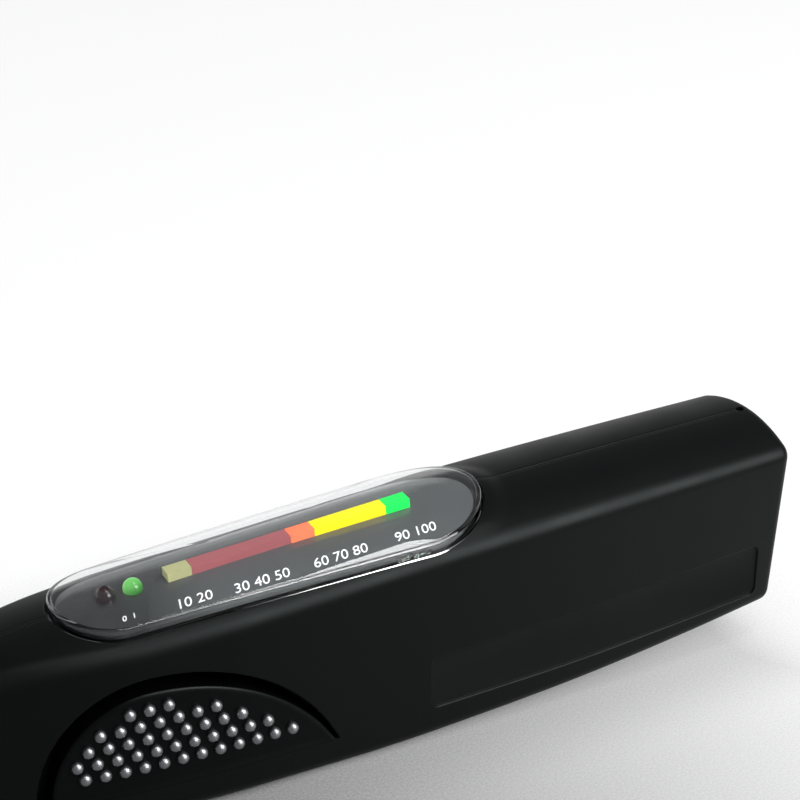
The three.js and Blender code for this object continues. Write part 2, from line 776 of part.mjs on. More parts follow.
function buttonShape() {
  const x = alongDeck(buttonPlace);
  const cap = alongZ(rod(buttonRadius, -buttonFoot, overrun)).translate(x, 0, 0);
  const flange = alongZ(rod(buttonRadius + buttonFlange, -buttonFoot, buttonFlangeHeight - buttonFoot));
  const raised = bodyForm(0, caseLength).translate(0, 0, buttonProud);
  const button = solid(placed(cap, electronics)).intersect(solid(raised));
  return geometryOf(button.add(solid(placed(flange.translate(x, 0, 0), electronics))));
}

function addSwitch() {
  const x = alongDeck(buttonPlace);
  const body = block(
    [x - switchSize / 2, -switchSize / 2, fit - boardDepth],
    [x + switchSize / 2, switchSize / 2, fit + switchHeight - boardDepth],
  );
  electronics.add(meshOf("power_switch", body, finish(colours.chipBlack, 0.5)));
}

// Screws go in from the right side, through bosses that meet on the mid-plane. They are set out from the
// window's front, twice from its rear, and from the tail.
const screwStarts = [lensFront, lensRear, lensRear, 0];
const screwSetOuts = [11.4, 21.8, 13.8, 11.5];
const screwHeightShares = [0.162, 0.241, 0.555, 0.869];
const screwPlaces = screwStarts.map((start, i) => [start + screwSetOuts[i], caseHeight * screwHeightShares[i]]);
const bossRadius = 2.2;
const screwRadius = 0.95;
const screwHeadRadius = 1.8;
const screwHeadHeight = 1.3;
const screwSeatDepth = 4.8;
const screwBite = 4;
const driveWidth = 0.5;
const driveLength = 2.2;
const driveDepth = 0.7;

function screwSeat(place) {
  return sizesAt(place).half - screwSeatDepth;
}

function bosses(side) {
  const parts = screwPlaces.map(([place, z]) => {
    const reach = sizesAt(place).half - wall / 2;
    const boss = rod(bossRadius, fit / 2, reach, 14);
    return solid(boss.rotateX(side < 0 ? Math.PI : 0).translate(fromTail(place), 0, z));
  });
  return parts.reduce((sum, part) => sum.add(part));
}

function screwHoles() {
  const holes = screwPlaces.map(([place, z]) => {
    const seat = screwSeat(place);
    const shank = solid(rod(screwRadius + fit, -screwBite - fit, seat + fit, 12).translate(fromTail(place), 0, z));
    const head = rod(screwHeadRadius + fit, seat, caseWidth, 14).translate(fromTail(place), 0, z);
    return shank.add(solid(head));
  });
  return holes.reduce((sum, hole) => sum.add(hole));
}

function screwShape(place, z) {
  const seat = screwSeat(place) + fit;
  const profile = [
    [0, -screwBite], [screwRadius, screwRadius - screwBite],
    [screwRadius, seat], [screwHeadRadius, seat], [screwHeadRadius, seat + screwHeadHeight],
    [0, seat + screwHeadHeight],
  ];
  let screw = solid(turned(profile, 14));
  for (const [x, depth] of [[driveLength, driveWidth], [driveWidth, driveLength]]) {
    const low = seat + screwHeadHeight - driveDepth;
    const slot = block([-x / 2, low, -depth / 2], [x / 2, low + overrun, depth / 2]);
    screw = screw.subtract(solid(slot));
  }
  return geometryOf(screw).translate(fromTail(place), 0, z);
}

// Inner ribs of each half: three ledges under the board's edges and the bay's front wall.
const ledgeLength = 3;
const ledgeHeight = 2;
const ledgeSetIns = [5, 25, 4];
const ledgeStarts = [boardRear, boardRear, boardMidFront];
const bayWallHeight = 14;
const bayWallThickness = 1.5;

function innerRibs(side) {
  const ribs = [];
  ledgeStarts.forEach((start, i) => {
    const x = alongDeck(start + ledgeSetIns[i]);
    const edge = boardWidths[boardStops.indexOf(start)] / 2 - ledgeHeight / 2;
    const top = -boardDepth - boardThickness - fit;
    const ledge = block(
      [x - ledgeLength / 2, Math.min(side * edge, side * caseWidth / 2), top - ledgeHeight],
      [x + ledgeLength / 2, Math.max(side * edge, side * caseWidth / 2), top],
    );
    ribs.push(solid(placed(ledge, electronics)));
  });
  const bayWall = block(
    [-bayWallThickness, Math.min(side * fit / 2, side * caseWidth / 2), -overrun],
    [0, Math.max(side * fit / 2, side * caseWidth / 2), bayWallHeight],
  );
  ribs.push(solid(placed(bayWall, bay)));
  return ribs.reduce((sum, rib) => sum.add(rib));
}

// Bare, shallow recess along the left side of the tail. Its middle line climbs with the underside.
const labelLength = 62;
const labelHeight = 9.3;
const labelDepth = 0.5;
const labelPlace = 36.7;
const labelCorner = 1.2;
const labelMiddleShares = [[0.03, 0.372], [0.137, 0.337], [0.245, 0.306], [0.35, 0.291], [0.41, 0.282]];
const labelSteps = 12;

function labelRecess() {
  const shape = new THREE.Shape();
  const x = labelLength / 2;
  const z = labelHeight / 2;
  const r = labelCorner;
  const along = (from, to, level) => {
    for (let i = 0; i <= labelSteps; i += 1) shape.lineTo(from + ((to - from) * i) / labelSteps, level);
  };
  shape.moveTo(r - x, -z);
  along(r - x, x - r, -z);
  shape.absarc(x - r, r - z, r, -Math.PI / 2, 0);
  shape.absarc(x - r, z - r, r, 0, Math.PI / 2);
  along(x - r, r - x, z);
  shape.absarc(r - x, z - r, r, Math.PI / 2, Math.PI);
  shape.absarc(r - x, r - z, r, Math.PI, (3 * Math.PI) / 2);
  const options = { depth: overrun, bevelEnabled: false, curveSegments: 4 };
  const sheet = new THREE.ExtrudeGeometry(shape, options).rotateX(Math.PI / 2);
  const point = sheet.attributes.position;
  for (let i = 0; i < point.count; i += 1) {
    const place = labelPlace - point.getX(i);
    const middle = caseHeight * smoothShare(labelMiddleShares, place / bodyLength);
    const floor = labelDepth - sizesAt(place).half;
    point.setXYZ(i, fromTail(place), floor + point.getY(i), middle + point.getZ(i));
  }
  return sheet;
}

// Everything that opens the case from outside.
function caseOpenings() {
  const surface = (offset) => (x, y) => crownHeight(x, y) + offset;
  const rebate = solid(sheetOver(lensOutline(fit), surface(-lensSeat), surface(overrun)));
  const opening = sheetOver(lensOutline(-lensWall - lensLedge), surface(-overrun), surface(overrun));
  const buttonHole = alongZ(rod(buttonRadius + fit, -overrun, overrun));
  buttonHole.translate(alongDeck(buttonPlace), 0, 0);
  return rebate
    .add(solid(opening))
    .add(solid(placed(buttonHole, electronics)))
    .add(solid(placed(coverRun(0, fit), bay)));
}

function shell(side) {
  const half = block(
    [-overallLength, side < 0 ? -caseWidth : fit / 2, -overrun],
    [overallLength, side < 0 ? -fit / 2 : caseWidth, caseHeight + overrun],
  );
  const gripBlock = (outline, from) => {
    const form = across(outline, -caseWidth, -from);
    return solid(side < 0 ? form : mirrored(form));
  };
  const backing = gripBlock(gripOutline(wall, gripGroove), gripFloor / 2 - gripBacking);
  const recess = gripBlock(gripOutline(fit, gripGroove), gripFloor / 2);
  const inside = bosses(side).add(innerRibs(side)).add(backing).intersect(caseOuter);
  let body = caseOuter.subtract(caseInner).add(inside);
  body = body.subtract(caseOpenings()).subtract(recess).subtract(screwHoles()).subtract(cellRoom());
  if (side < 0) body = body.subtract(solid(labelRecess()));
  return body.intersect(solid(half));
}

// Wires that stay inside the case.
const leadRadius = 0.55;
const leadSpread = 4;
const leadSetBack = 4;

function leadShape(side) {
  const plateBack = cellFront - contactGap - fit - contactThickness;
  const start = new THREE.Vector3(plateBack - leadRadius - fit, 0, cellPlaces()[2][1]);
  const foot = start.clone().applyMatrix4(bay.matrixWorld);
  const under = -boardDepth - boardThickness - 2 * fit;
  const headPlace = new THREE.Vector3(alongDeck(boardRear) - leadSetBack, 0, under);
  const head = headPlace.applyMatrix4(electronics.matrixWorld);
  const y = side * leadSpread;
  const points = [
    new THREE.Vector3(foot.x, y, foot.z),
    new THREE.Vector3(foot.x - leadSetBack / 2, y, foot.z + (head.z - foot.z) / 5),
    new THREE.Vector3(head.x, y, head.z - (head.z - foot.z) / 2),
    new THREE.Vector3(head.x, y, head.z),
  ];
  return tubeAlong(points, leadRadius, 6, 10);
}

function cableShape() {
  const start = new THREE.Vector3(housingRear + fit, 0, 0).applyMatrix4(probe.matrixWorld);
  const place = new THREE.Vector3(alongDeck(boardMidFront), 0, -boardDepth - boardThickness - 2 * fit);
  const end = place.applyMatrix4(electronics.matrixWorld);
  const reach = end.x - start.x;
  const points = [
    start,
    new THREE.Vector3(start.x + reach / 3, 0, start.z),
    new THREE.Vector3(end.x, 0, end.z - (end.z - start.z) / 3),
    end,
  ];
  return tubeAlong(points, cableRadius - fit / 3, 6, 14);
}

const tester = new THREE.Group();
tester.add(electronics, bay, probe);
tester.updateMatrixWorld(true);
addBoard();
addLights();
addSwitch();
addCells();
addContacts();
addProbe();

const moulded = finish(colours.caseBlack, 0.5);
const padFinish = finish(colours.padBlack, 0.7);
const studFinish = finish(colours.steel, 0.2, 1);
tester.add(meshOf("left_shell", shell(-1), moulded));
tester.add(meshOf("right_shell", shell(1), moulded));
tester.add(meshOf("nose_cone", noseShape(), moulded));
tester.add(meshOf("power_button", buttonShape(), padFinish));
tester.add(meshOf("battery_cover", coverShape(), moulded));
const window = finish(colours.clear, 0.05);
window.transparent = true;
window.opacity = 0.25;
tester.add(meshOf("display_lens", lensShape(), window));
tester.add(meshOf("display_plate", plateShape(), finish(colours.panelGrey, 0.25)));
const pad = gripPad();
const contact = gripContact();
tester.add(meshOf("left_grip_pad", pad, padFinish));
tester.add(meshOf("right_grip_pad", mirrored(pad), padFinish));
tester.add(meshOf("left_grip_contact", contact, studFinish));
tester.add(meshOf("right_grip_contact", mirrored(contact), studFinish));
screwPlaces.forEach(([place, z], i) => {
  tester.add(meshOf(`shell_screw_${i + 1}`, screwShape(place, z), finish(colours.steel, 0.35, 1)));
});
tester.add(meshOf("battery_lead_plus", leadShape(-1), finish(colours.leadRed, 0.5)));
tester.add(meshOf("battery_lead_minus", leadShape(1), finish(colours.leadBlack, 0.5)));
tester.add(meshOf("probe_cable", cableShape(), finish(colours.leadBlack, 0.5)));

export default tester;
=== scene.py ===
import math
import random

import bmesh
import bpy
from mathutils import Matrix, Vector
from mathutils.bvhtree import BVHTree


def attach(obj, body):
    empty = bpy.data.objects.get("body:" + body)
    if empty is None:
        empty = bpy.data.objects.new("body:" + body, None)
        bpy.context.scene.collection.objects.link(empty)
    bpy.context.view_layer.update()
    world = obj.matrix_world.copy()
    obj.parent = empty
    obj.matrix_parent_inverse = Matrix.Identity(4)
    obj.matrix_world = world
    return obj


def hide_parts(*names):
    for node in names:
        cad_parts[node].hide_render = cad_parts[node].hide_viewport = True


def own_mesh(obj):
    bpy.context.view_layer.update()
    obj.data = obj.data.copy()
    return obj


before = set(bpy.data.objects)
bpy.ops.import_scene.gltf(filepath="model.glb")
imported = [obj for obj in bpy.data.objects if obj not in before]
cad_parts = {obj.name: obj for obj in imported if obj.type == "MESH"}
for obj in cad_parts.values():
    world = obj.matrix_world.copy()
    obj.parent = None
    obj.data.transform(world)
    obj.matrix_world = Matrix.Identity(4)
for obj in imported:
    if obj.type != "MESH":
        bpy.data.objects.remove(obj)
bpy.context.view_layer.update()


# The camera looks at the tester from its left side and above, at the photograph's viewing angle.
# The nose and the probe lie outside the picture, to the left.
camera_azimuth = math.radians(-27.3)
camera_elevation = math.radians(26.1)
camera_aim = Vector((0.02355, 0, 0.0542))
camera_distance = 0.3197
camera_back = Vector((
    math.sin(camera_azimuth) * math.cos(camera_elevation),
    -math.cos(camera_azimuth) * math.cos(camera_elevation),
    math.sin(camera_elevation),
))
camera_data = bpy.data.cameras.new("camera")
camera_data.lens = 94.5
camera_data.sensor_width = 36
camera = bpy.data.objects.new("camera", camera_data)
camera.location = camera_aim + camera_back * camera_distance
camera.rotation_euler = (-camera_back).to_track_quat("-Z", "Y").to_euler()
bpy.context.scene.collection.objects.link(camera)
bpy.context.scene.camera = camera
bpy.context.scene.view_settings.view_transform = "Standard"


# The table: a pale, finely speckled top whose glow is painted light, brighter to the right and running up into
# white behind the tester, with a painted shadow beside it. It only carries the scene and is no part of the tester.
def set_down(name, mesh):
    piece = bpy.data.objects.new(name, mesh)
    bpy.context.scene.collection.objects.link(piece)
    return piece


def new_finish(name):
    material = bpy.data.materials.new(name)
    material.use_nodes = True
    return material, material.node_tree, material.node_tree.nodes["Principled BSDF"]


def feed(node, inputs):
    """Gives a node's inputs plain values, or links them to other nodes' outputs by (node, output) pairs."""
    for name, value in inputs.items():
        if isinstance(value, tuple) and isinstance(value[0], bpy.types.Node):
            source, output = value
            node.id_data.links.new(source.outputs[output], node.inputs[name])
        else:
            node.inputs[name].default_value = value


def add_node(tree, kind, inputs=None, **settings):
    """A shader node, set to the right of the last one."""
    node = tree.nodes.new("ShaderNode" + kind)
    node.location = (180 * len(tree.nodes) - 2000, 0)
    for name, value in settings.items():
        setattr(node, name, value)
    feed(node, inputs or {})
    return node


def noise(tree, scale, **inputs):
    return add_node(tree, "TexNoise", {"Scale": scale, **inputs}), "Fac"


def ranged(tree, value, start, end, low=0, high=1, kind="LINEAR"):
    """A value's run from start to end, laid onto low to high."""
    return add_node(tree, "MapRange", {
        "Value": value, "From Min": start, "From Max": end, "To Min": low, "To Max": high,
    }, interpolation_type=kind), "Result"


def blended(tree, share, low, high):
    """Two colours mixed by a share that changes over the surface."""
    return add_node(tree, "Mix", {"Factor": share, "A": low, "B": high}, data_type="RGBA"), "Result"


def joined(tree, operation, *values):
    return add_node(tree, "Math", dict(enumerate(values)), operation=operation), "Value"


table_reach = 6
table_mesh = bpy.data.meshes.new("table_top")
table_mesh.from_pydata([(x * table_reach, y * table_reach, 0) for x, y in ((-1, -1), (1, -1), (1, 1), (-1, 1))],
                       [], [(0, 1, 2, 3)])
table_top = set_down("table_top", table_mesh)
table_speckle_and_painted_light, tree, shader = new_finish("table_top_speckled_painted_light")
place = add_node(tree, "TexCoord"), "Object"
spot = add_node(tree, "SeparateXYZ", {"Vector": place})
along, across = (spot, "X"), (spot, "Y")
aside = joined(tree, "ABSOLUTE", across)
# Painted light: the floor glows brighter to the right of and behind the tester.
to_the_right = ranged(tree, along, -0.01, 0.115)
behind_it = ranged(tree, across, 0.01, 0.07, kind="SMOOTHSTEP")
# Painted shadow: beside the tester the glow drops to 0.6, except past the tail.
outside_painted_shadow = ranged(tree, aside, 0.012, 0.032, 0.6, kind="SMOOTHSTEP")
past_the_tail = ranged(tree, along, 0.062, 0.095, kind="SMOOTHSTEP")
not_in_front = ranged(tree, across, -0.12, -0.06, kind="SMOOTHSTEP")
wide = joined(tree, "MAXIMUM", to_the_right, behind_it)
painted_shadow_factor = joined(tree, "MAXIMUM", outside_painted_shadow, past_the_tail)
painted_floor_light = joined(tree, "MULTIPLY", joined(tree, "MULTIPLY", wide, painted_shadow_factor), not_in_front)
speckle = ranged(tree, noise(tree, 2600, Vector=place, Detail=2), 0.3, 0.7, 0.19, 0.29)
tone = add_node(tree, "CombineColor", {"Red": speckle, "Green": speckle, "Blue": speckle})
feed(shader, {
    "Base Color": (tone, "Color"),
    "Emission Color": blended(tree, painted_floor_light, (0, 0, 0, 1), (1, 1, 1, 1)),
    "Emission Strength": 0.75, "Roughness": 0.6, "Specular IOR Level": 0.2,
})
table_mesh.materials.append(table_speckle_and_painted_light)


# Studio light: a white sweep low behind the table in a dim room, a square soft box in front to the right, a
# second above it and a narrow one overhead. The camera sees the room white, while the gloss mirrors it as it is.
world = bpy.data.worlds.new("studio")
world.use_nodes = True
bpy.context.scene.world = world
tree = world.node_tree
where = add_node(tree, "TexCoord")
direction = add_node(tree, "SeparateXYZ", {"Vector": (where, "Generated")})
low_band = ranged(tree, (direction, "Z"), 0.34, 0.2, kind="SMOOTHSTEP")
behind = ranged(tree, (direction, "Y"), -0.1, 0.35, kind="SMOOTHSTEP")
sweep = joined(tree, "MULTIPLY", low_band, behind)
room = blended(tree, sweep, (0.245, 0.25, 0.256, 1), (0.85, 0.85, 0.85, 1))
seen = add_node(tree, "LightPath")
feed(tree.nodes["Background"], {
    "Color": blended(tree, (seen, "Is Camera Ray"), room, (1, 1, 1, 1)), "Strength": 1})


def soft_box(name, place, aim, width, height, power):
    lamp = bpy.data.lights.new(name, "AREA")
    lamp.shape = "RECTANGLE"
    lamp.size = width
    lamp.size_y = height
    lamp.energy = power
    box = bpy.data.objects.new(name, lamp)
    box.location = place
    box.rotation_euler = (Vector(aim) - Vector(place)).to_track_quat("-Z", "Y").to_euler()
    bpy.context.scene.collection.objects.link(box)


soft_box("key_box", (0.44, -0.68, 0.45), (0.03, 0, 0.03), 0.5, 0.5, 8)
soft_box("fill_box", (0.33, -0.51, 0.7), (0.03, 0, 0.03), 0.5, 0.3, 3.8)
soft_box("top_box", (0.157, -0.195, 0.9), (0.03, 0, 0.03), 0.5, 0.2, 2.4)


# Case: two mouldings in black satin plastic that meet on the mid-plane, with a fine spark-eroded grain.
# Each is a wall of even thickness, with a seat for the window, a recess for the grip and a bay for the cells.
MM = 0.001
lens_rear = 53.7
lens_length = 70.4
lens_front = lens_rear + lens_length
case_length = lens_front + 34.4
body_length = case_length + 12
overall_length = body_length + 10
case_width = 26.2
case_height = 38.16
wall = 1.8
seam_gap = 0.15
seam_round = 0.14
tail_round = 1.8
tail_rake = 2.6
rake_reach = 40
top_line_shares = [
    (0, 1), (0.161, 0.982), (0.308, 0.96), (0.513, 0.914), (0.701, 0.85), (0.765, 0.822),
    (0.801, 0.793), (0.842, 0.731), (0.883, 0.647), (0.93, 0.534), (1, 0.41)]
under_line_shares = [
    (0, 0.181), (0.117, 0.115), (0.235, 0.059), (0.34, 0.025), (0.422, 0.005), (0.469, 0),
    (0.81, 0), (0.865, 0.042), (0.93, 0.141), (1, 0.264)]
half_width_shares = [
    (0, 0.924), (0.147, 0.969), (0.323, 1), (0.569, 0.992), (0.633, 0.962), (0.674, 0.931), (0.716, 0.87),
    (0.754, 0.786), (0.792, 0.687), (0.842, 0.557), (0.883, 0.477), (0.93, 0.405), (1, 0.21)]
crown_shares = [(0, 2.15), (0.293, 2.15), (0.528, 2), (0.686, 2.4), (0.774, 3.1), (1, 3)]
shoulder_shares = [(0, 0.22), (0.3, 0.25), (0.68, 0.265), (0.8, 0.42), (0.93, 0.75), (1, 0.92)]
bilge_shares = [(0, 0.2), (0.68, 0.22), (0.8, 0.4), (0.93, 0.75), (1, 0.92)]


def smooth_share(shares, at):
    last = len(shares) - 1
    i = 0
    while i < last - 1 and at > shares[i + 1][0]:
        i += 1

    def rise(k):
        return (shares[k + 1][1] - shares[k][1]) / (shares[k + 1][0] - shares[k][0])

    def slope(k):
        if k in (0, last):
            return rise(min(k, last - 1))
        before, after = rise(k - 1), rise(k)
        return 0 if before * after <= 0 else 2 * before * after / (before + after)

    span = shares[i + 1][0] - shares[i][0]
    t = min(max((at - shares[i][0]) / span, 0), 1)
    return (shares[i][1] * (1 - t) ** 2 * (1 + 2 * t) + shares[i + 1][1] * t ** 2 * (3 - 2 * t)
            + slope(i) * span * t * (1 - t) ** 2 - slope(i + 1) * span * t ** 2 * (1 - t))


def from_tail(distance):
    return overall_length / 2 - distance


def case_sizes(distance, inset=0.0):
    at = distance / body_length
    half_width = case_width / 2 * smooth_share(half_width_shares, at)
    sizes = {
        "half": half_width - inset,
        "top": case_height * smooth_share(top_line_shares, at) - inset,
        "under": case_height * smooth_share(under_line_shares, at) + inset,
        "crown": half_width * smooth_share(crown_shares, at) - inset,
        "shoulder": max(half_width * smooth_share(shoulder_shares, at) - inset, 0.3),
        "bilge": max(half_width * smooth_share(bilge_shares, at) - inset, 0.3),
    }
    lean = math.asin((sizes["half"] - sizes["shoulder"]) / (sizes["crown"] - sizes["shoulder"]))
    sizes["lean"] = lean
    sizes["shoulder_height"] = sizes["top"] - sizes["crown"] + (sizes["crown"] - sizes["shoulder"]) * math.cos(lean)
    return sizes


def crown_height(x, y):
    s = case_sizes(overall_length / 2 - x)
    off = min(abs(y), s["half"])
    if off <= s["crown"] * math.sin(s["lean"]):
        return s["top"] - s["crown"] + math.sqrt(s["crown"] ** 2 - off ** 2)
    rest = s["shoulder"] ** 2 - (off - s["half"] + s["shoulder"]) ** 2
    return s["shoulder_height"] + math.sqrt(max(rest, 0))


def arc(centre, radius, start, end, steps):
    turn = [start + (end - start) * i / steps for i in range(steps + 1)]
    return [(centre[0] + radius * math.cos(a), centre[1] + radius * math.sin(a)) for a in turn]


def even_steps(start, end, count):
    return [(start[0] + (end[0] - start[0]) * i / count, start[1] + (end[1] - start[1]) * i / count)
            for i in range(1, count)]


lens_rear_end = 13
lens_front_end = 10
lens_rear_half = 11.6
lens_front_half = 9.7
lens_rear_centre = from_tail(lens_rear + lens_rear_end)
lens_front_centre = from_tail(lens_front - lens_front_end)
lens_middle = from_tail(lens_rear + lens_length / 2)


def off_the_lens(x, y):
    """How far a point in plan lies outside the window."""
    if x > lens_rear_centre:
        long, wide, dx = lens_rear_end, lens_rear_half, x - lens_rear_centre
    elif x < lens_front_centre:
        long, wide, dx = lens_front_end, lens_front_half, x - lens_front_centre
    else:
        share = (x - lens_front_centre) / (lens_rear_centre - lens_front_centre)
        return abs(y) - lens_front_half - (lens_rear_half - lens_front_half) * share
    gauge = max(math.hypot(dx / long, y / wide), 1e-6)
    return math.hypot(dx, y) * (1 - 1 / gauge)


def smoothstep(low, high, value):
    t = min(max((value - low) / (high - low), 0), 1)
    return t * t * (3 - 2 * t)


collar_height = 0.45
collar_width = 1.2
collar_fade = 3.6


def collar_rise(x, y):
    """The soft raised collar round the window's rear end."""
    along = smoothstep(2, 24, x)
    down_side = 1 - smoothstep(9.5, 12, abs(y))
    beyond = off_the_lens(x, y)
    return collar_height * along * down_side * (1 - smoothstep(collar_width, collar_width + collar_fade, beyond))


def raked(distance, z):
    """Where a point lies along the case: the tail's face leans forward towards the belly."""
    fade = max(0, 1 - distance / rake_reach) ** 2
    face_top = case_height - tail_round
    return from_tail(distance) - tail_rake * fade * (face_top - z) / face_top


def half_section(distance, inset=0.0, seam=seam_gap, bare=False):
    """One half of the case's section, from the belly's seam round the side to the crown's seam."""
    s = case_sizes(distance, inset)
    right = math.pi / 2
    lip = 0 if bare else seam_round
    start = seam + lip
    bilge_side = s["half"] - s["bilge"]
    crown_end = math.acos(min(start / s["crown"], 1))
    crown_centre = s["top"] - s["crown"]
    profile = [(seam, s["under"] + lip)] if bare else arc(
        (start, s["under"] + lip), lip, 2 * right, 3 * right, 3)
    profile += even_steps(profile[-1], (bilge_side, s["under"]), 8)
    profile += arc((bilge_side, s["under"] + s["bilge"]), s["bilge"], -right, 0, 8)
    profile += even_steps(profile[-1], (s["half"], s["shoulder_height"]), 14)
    profile += arc((s["half"] - s["shoulder"], s["shoulder_height"]), s["shoulder"], 0, right - s["lean"], 12)
    profile += arc((0, crown_centre), s["crown"], right - s["lean"], crown_end, 24)[1:]
    if not bare:
        top = crown_centre + s["crown"] * math.sin(crown_end) - lip
        profile += arc((start, top), lip, right, 2 * right, 3)[1:]
    ring = []
    for y, z in profile:
        x = raked(distance, z)
        if inset <= 0 and z > s["shoulder_height"]:
            z += collar_rise(x, y)
        ring.append(Vector((x, -y, z)))
    return ring


def skin_faces(rings, ring_size, closed=True):
    faces = []
    for i in range(rings - 1):
        for j in range(ring_size if closed else ring_size - 1):
            a, b = i * ring_size + j, i * ring_size + (j + 1) % ring_size
            faces.append((a, b, b + ring_size, a + ring_size))
    return faces


def solid_mesh(name, rings):
    """A closed mesh over rings of equal length, in millimetres, with flat ends."""
    size = len(rings[0])
    faces = skin_faces(len(rings), size)
    faces.append(tuple(range(size)))
    faces.append(tuple(range((len(rings) - 1) * size, len(rings) * size)))
    return made_mesh(name, rings, faces)


def made_mesh(name, rings, faces):
    mesh = bpy.data.meshes.new(name)
    mesh.from_pydata([p * MM for ring in rings for p in ring], [], faces)
    work = bmesh.new()
    work.from_mesh(mesh)
    bmesh.ops.recalc_face_normals(work, faces=work.faces)
    work.to_mesh(mesh)
    work.free()
    mesh.polygons.foreach_set("use_smooth", [True] * len(mesh.polygons))
    return mesh


def carve(piece, tool_mesh, operation="DIFFERENCE"):
    """Cuts a tool's form out of a piece, or joins it on."""
    tool = set_down("tool", tool_mesh)
    step = piece.modifiers.new("carve", "BOOLEAN")
    step.operation = operation
    step.solver = "EXACT"
    step.object = tool
    shaped = bpy.data.meshes.new_from_object(piece.evaluated_get(bpy.context.evaluated_depsgraph_get()))
    piece.modifiers.clear()
    work = bmesh.new()
    work.from_mesh(shaped)
    bmesh.ops.remove_doubles(work, verts=work.verts, dist=MM * MM)
    bmesh.ops.dissolve_degenerate(work, edges=work.edges, dist=MM * MM)
    work.to_mesh(shaped)
    work.free()
    old = piece.data
    piece.data = shaped
    bpy.data.meshes.remove(old)
    bpy.data.objects.remove(tool)
    bpy.data.meshes.remove(tool_mesh)


def stations(marks):
    """Distances from the tail: (start, end, pitch) runs laid end to end."""
    out = []
    for start, end, pitch in marks:
        count = max(1, round((end - start) / pitch))
        out += [start + (end - start) * i / count for i in range(count)]
    return out + [marks[-1][1]]


case_marks = [(tail_round, 46, 1.4), (46, 68, 0.6), (68, 124, 1.2), (124, case_length, 1.0)]


def quarter(steps):
    """A rounded edge's quarter turn, as (1 - cosine, 1 - sine) pairs."""
    turns = [math.pi / 2 * i / steps for i in range(steps + 1)]
    return [(1 - math.cos(turn), 1 - math.sin(turn)) for turn in turns]


def tail_rings(steps):
    return [half_section(tail_round * away, tail_round * inward) for away, inward in quarter(steps)[:-1]]


def lens_outline(offset):
    right = math.pi / 2
    rear_steps, front_steps, side_steps = 44, 36, 24
    rear = [(lens_rear_centre + x * (lens_rear_end + offset), y * (lens_rear_half + offset))
            for x, y in arc((0, 0), 1, -right, right, rear_steps)]
    front = [(lens_front_centre + x * (lens_front_end + offset), y * (lens_front_half + offset))
             for x, y in arc((0, 0), 1, right, 3 * right, front_steps)]
    return (rear + even_steps(rear[-1], front[0], side_steps)
            + front + even_steps(front[-1], rear[0], side_steps))


def over_outline(offset, height):
    return [Vector((x, y, crown_height(x, y) + height)) for x, y in lens_outline(offset)]


def window_seat():
    lens_seat, skirt_gap, ledge, mouth, through, outside = 1.2, 0.3, 1.5, 0.25, 5, 9
    rings = [over_outline(-1 - ledge, -through), over_outline(-1 - ledge, -lens_seat)]
    rings.append(over_outline(skirt_gap, -lens_seat))
    rings += [over_outline(skirt_gap + mouth * out, -mouth * down) for out, down in quarter(4)]
    rings.append(over_outline(skirt_gap + mouth, outside))
    return solid_mesh("window_seat", rings)


grip_top_place = lens_front - 10.6
grip_chord_height = 5.8
grip_height = 16.7
grip_rear_length = 29
grip_front_length = 15.5
grip_groove = 2
grip_floor = 6.8
grip_corner_spread = 1.75
close_fit = 0.08


def grip_outline(offset, groove=0.0, rear_steps=56, front_steps=36, chord_steps=40, chord_gap=1.0):
    top_x = from_tail(grip_top_place)
    chord = grip_chord_height - offset * chord_gap
    rise = grip_height + offset * 2 + groove
    rear = grip_rear_length + offset * grip_corner_spread
    front = grip_front_length + offset + groove
    radius = (rear ** 2 + rise ** 2) / (2 * rise)
    sweep = math.asin(min(rear / radius, 1))
    points = arc((top_x, chord + rise - radius), radius, math.pi / 2 - sweep, math.pi / 2, rear_steps)
    points[0] = (top_x + rear, chord)
    for i in range(1, front_steps + 1):
        turn = math.pi / 2 * (1 + i / front_steps)
        points.append((top_x + front * math.cos(turn), chord + rise * math.sin(turn)))
    return points + even_steps(points[-1], points[0], chord_steps)


def side_half(x):
    return case_sizes(overall_length / 2 - x)["half"]


def grip_backing():
    """The inner wall of the grip's recess, from behind its floor to the middle of the case's side wall."""
    outline = grip_outline(wall, grip_groove)
    inner = [Vector((x, 1 - grip_floor, z)) for x, z in outline]
    return [inner, [Vector((x, wall / 2 - side_half(x), z)) for x, z in outline]]


def grip_recess():
    gap, mouth, outside = 0.3, 0.3, 20

    def cut(offset):
        return grip_outline(gap + offset, grip_groove, chord_gap=close_fit)

    rings = [[Vector((x, -grip_floor, z)) for x, z in cut(0)]]
    for out, down in quarter(4):
        rings.append([Vector((x, mouth * down - side_half(x), z)) for x, z in cut(mouth * out)])
    rings.append([Vector((x, -outside, z)) for x, z in cut(mouth)])
    return solid_mesh("grip_recess", rings)


label_length = 62
label_height = 9.3
label_place = 36.7
label_depth = 0.45
label_corner = 1.3
label_middle_shares = [(0.03, 0.372), (0.137, 0.337), (0.245, 0.306), (0.35, 0.291), (0.41, 0.282)]


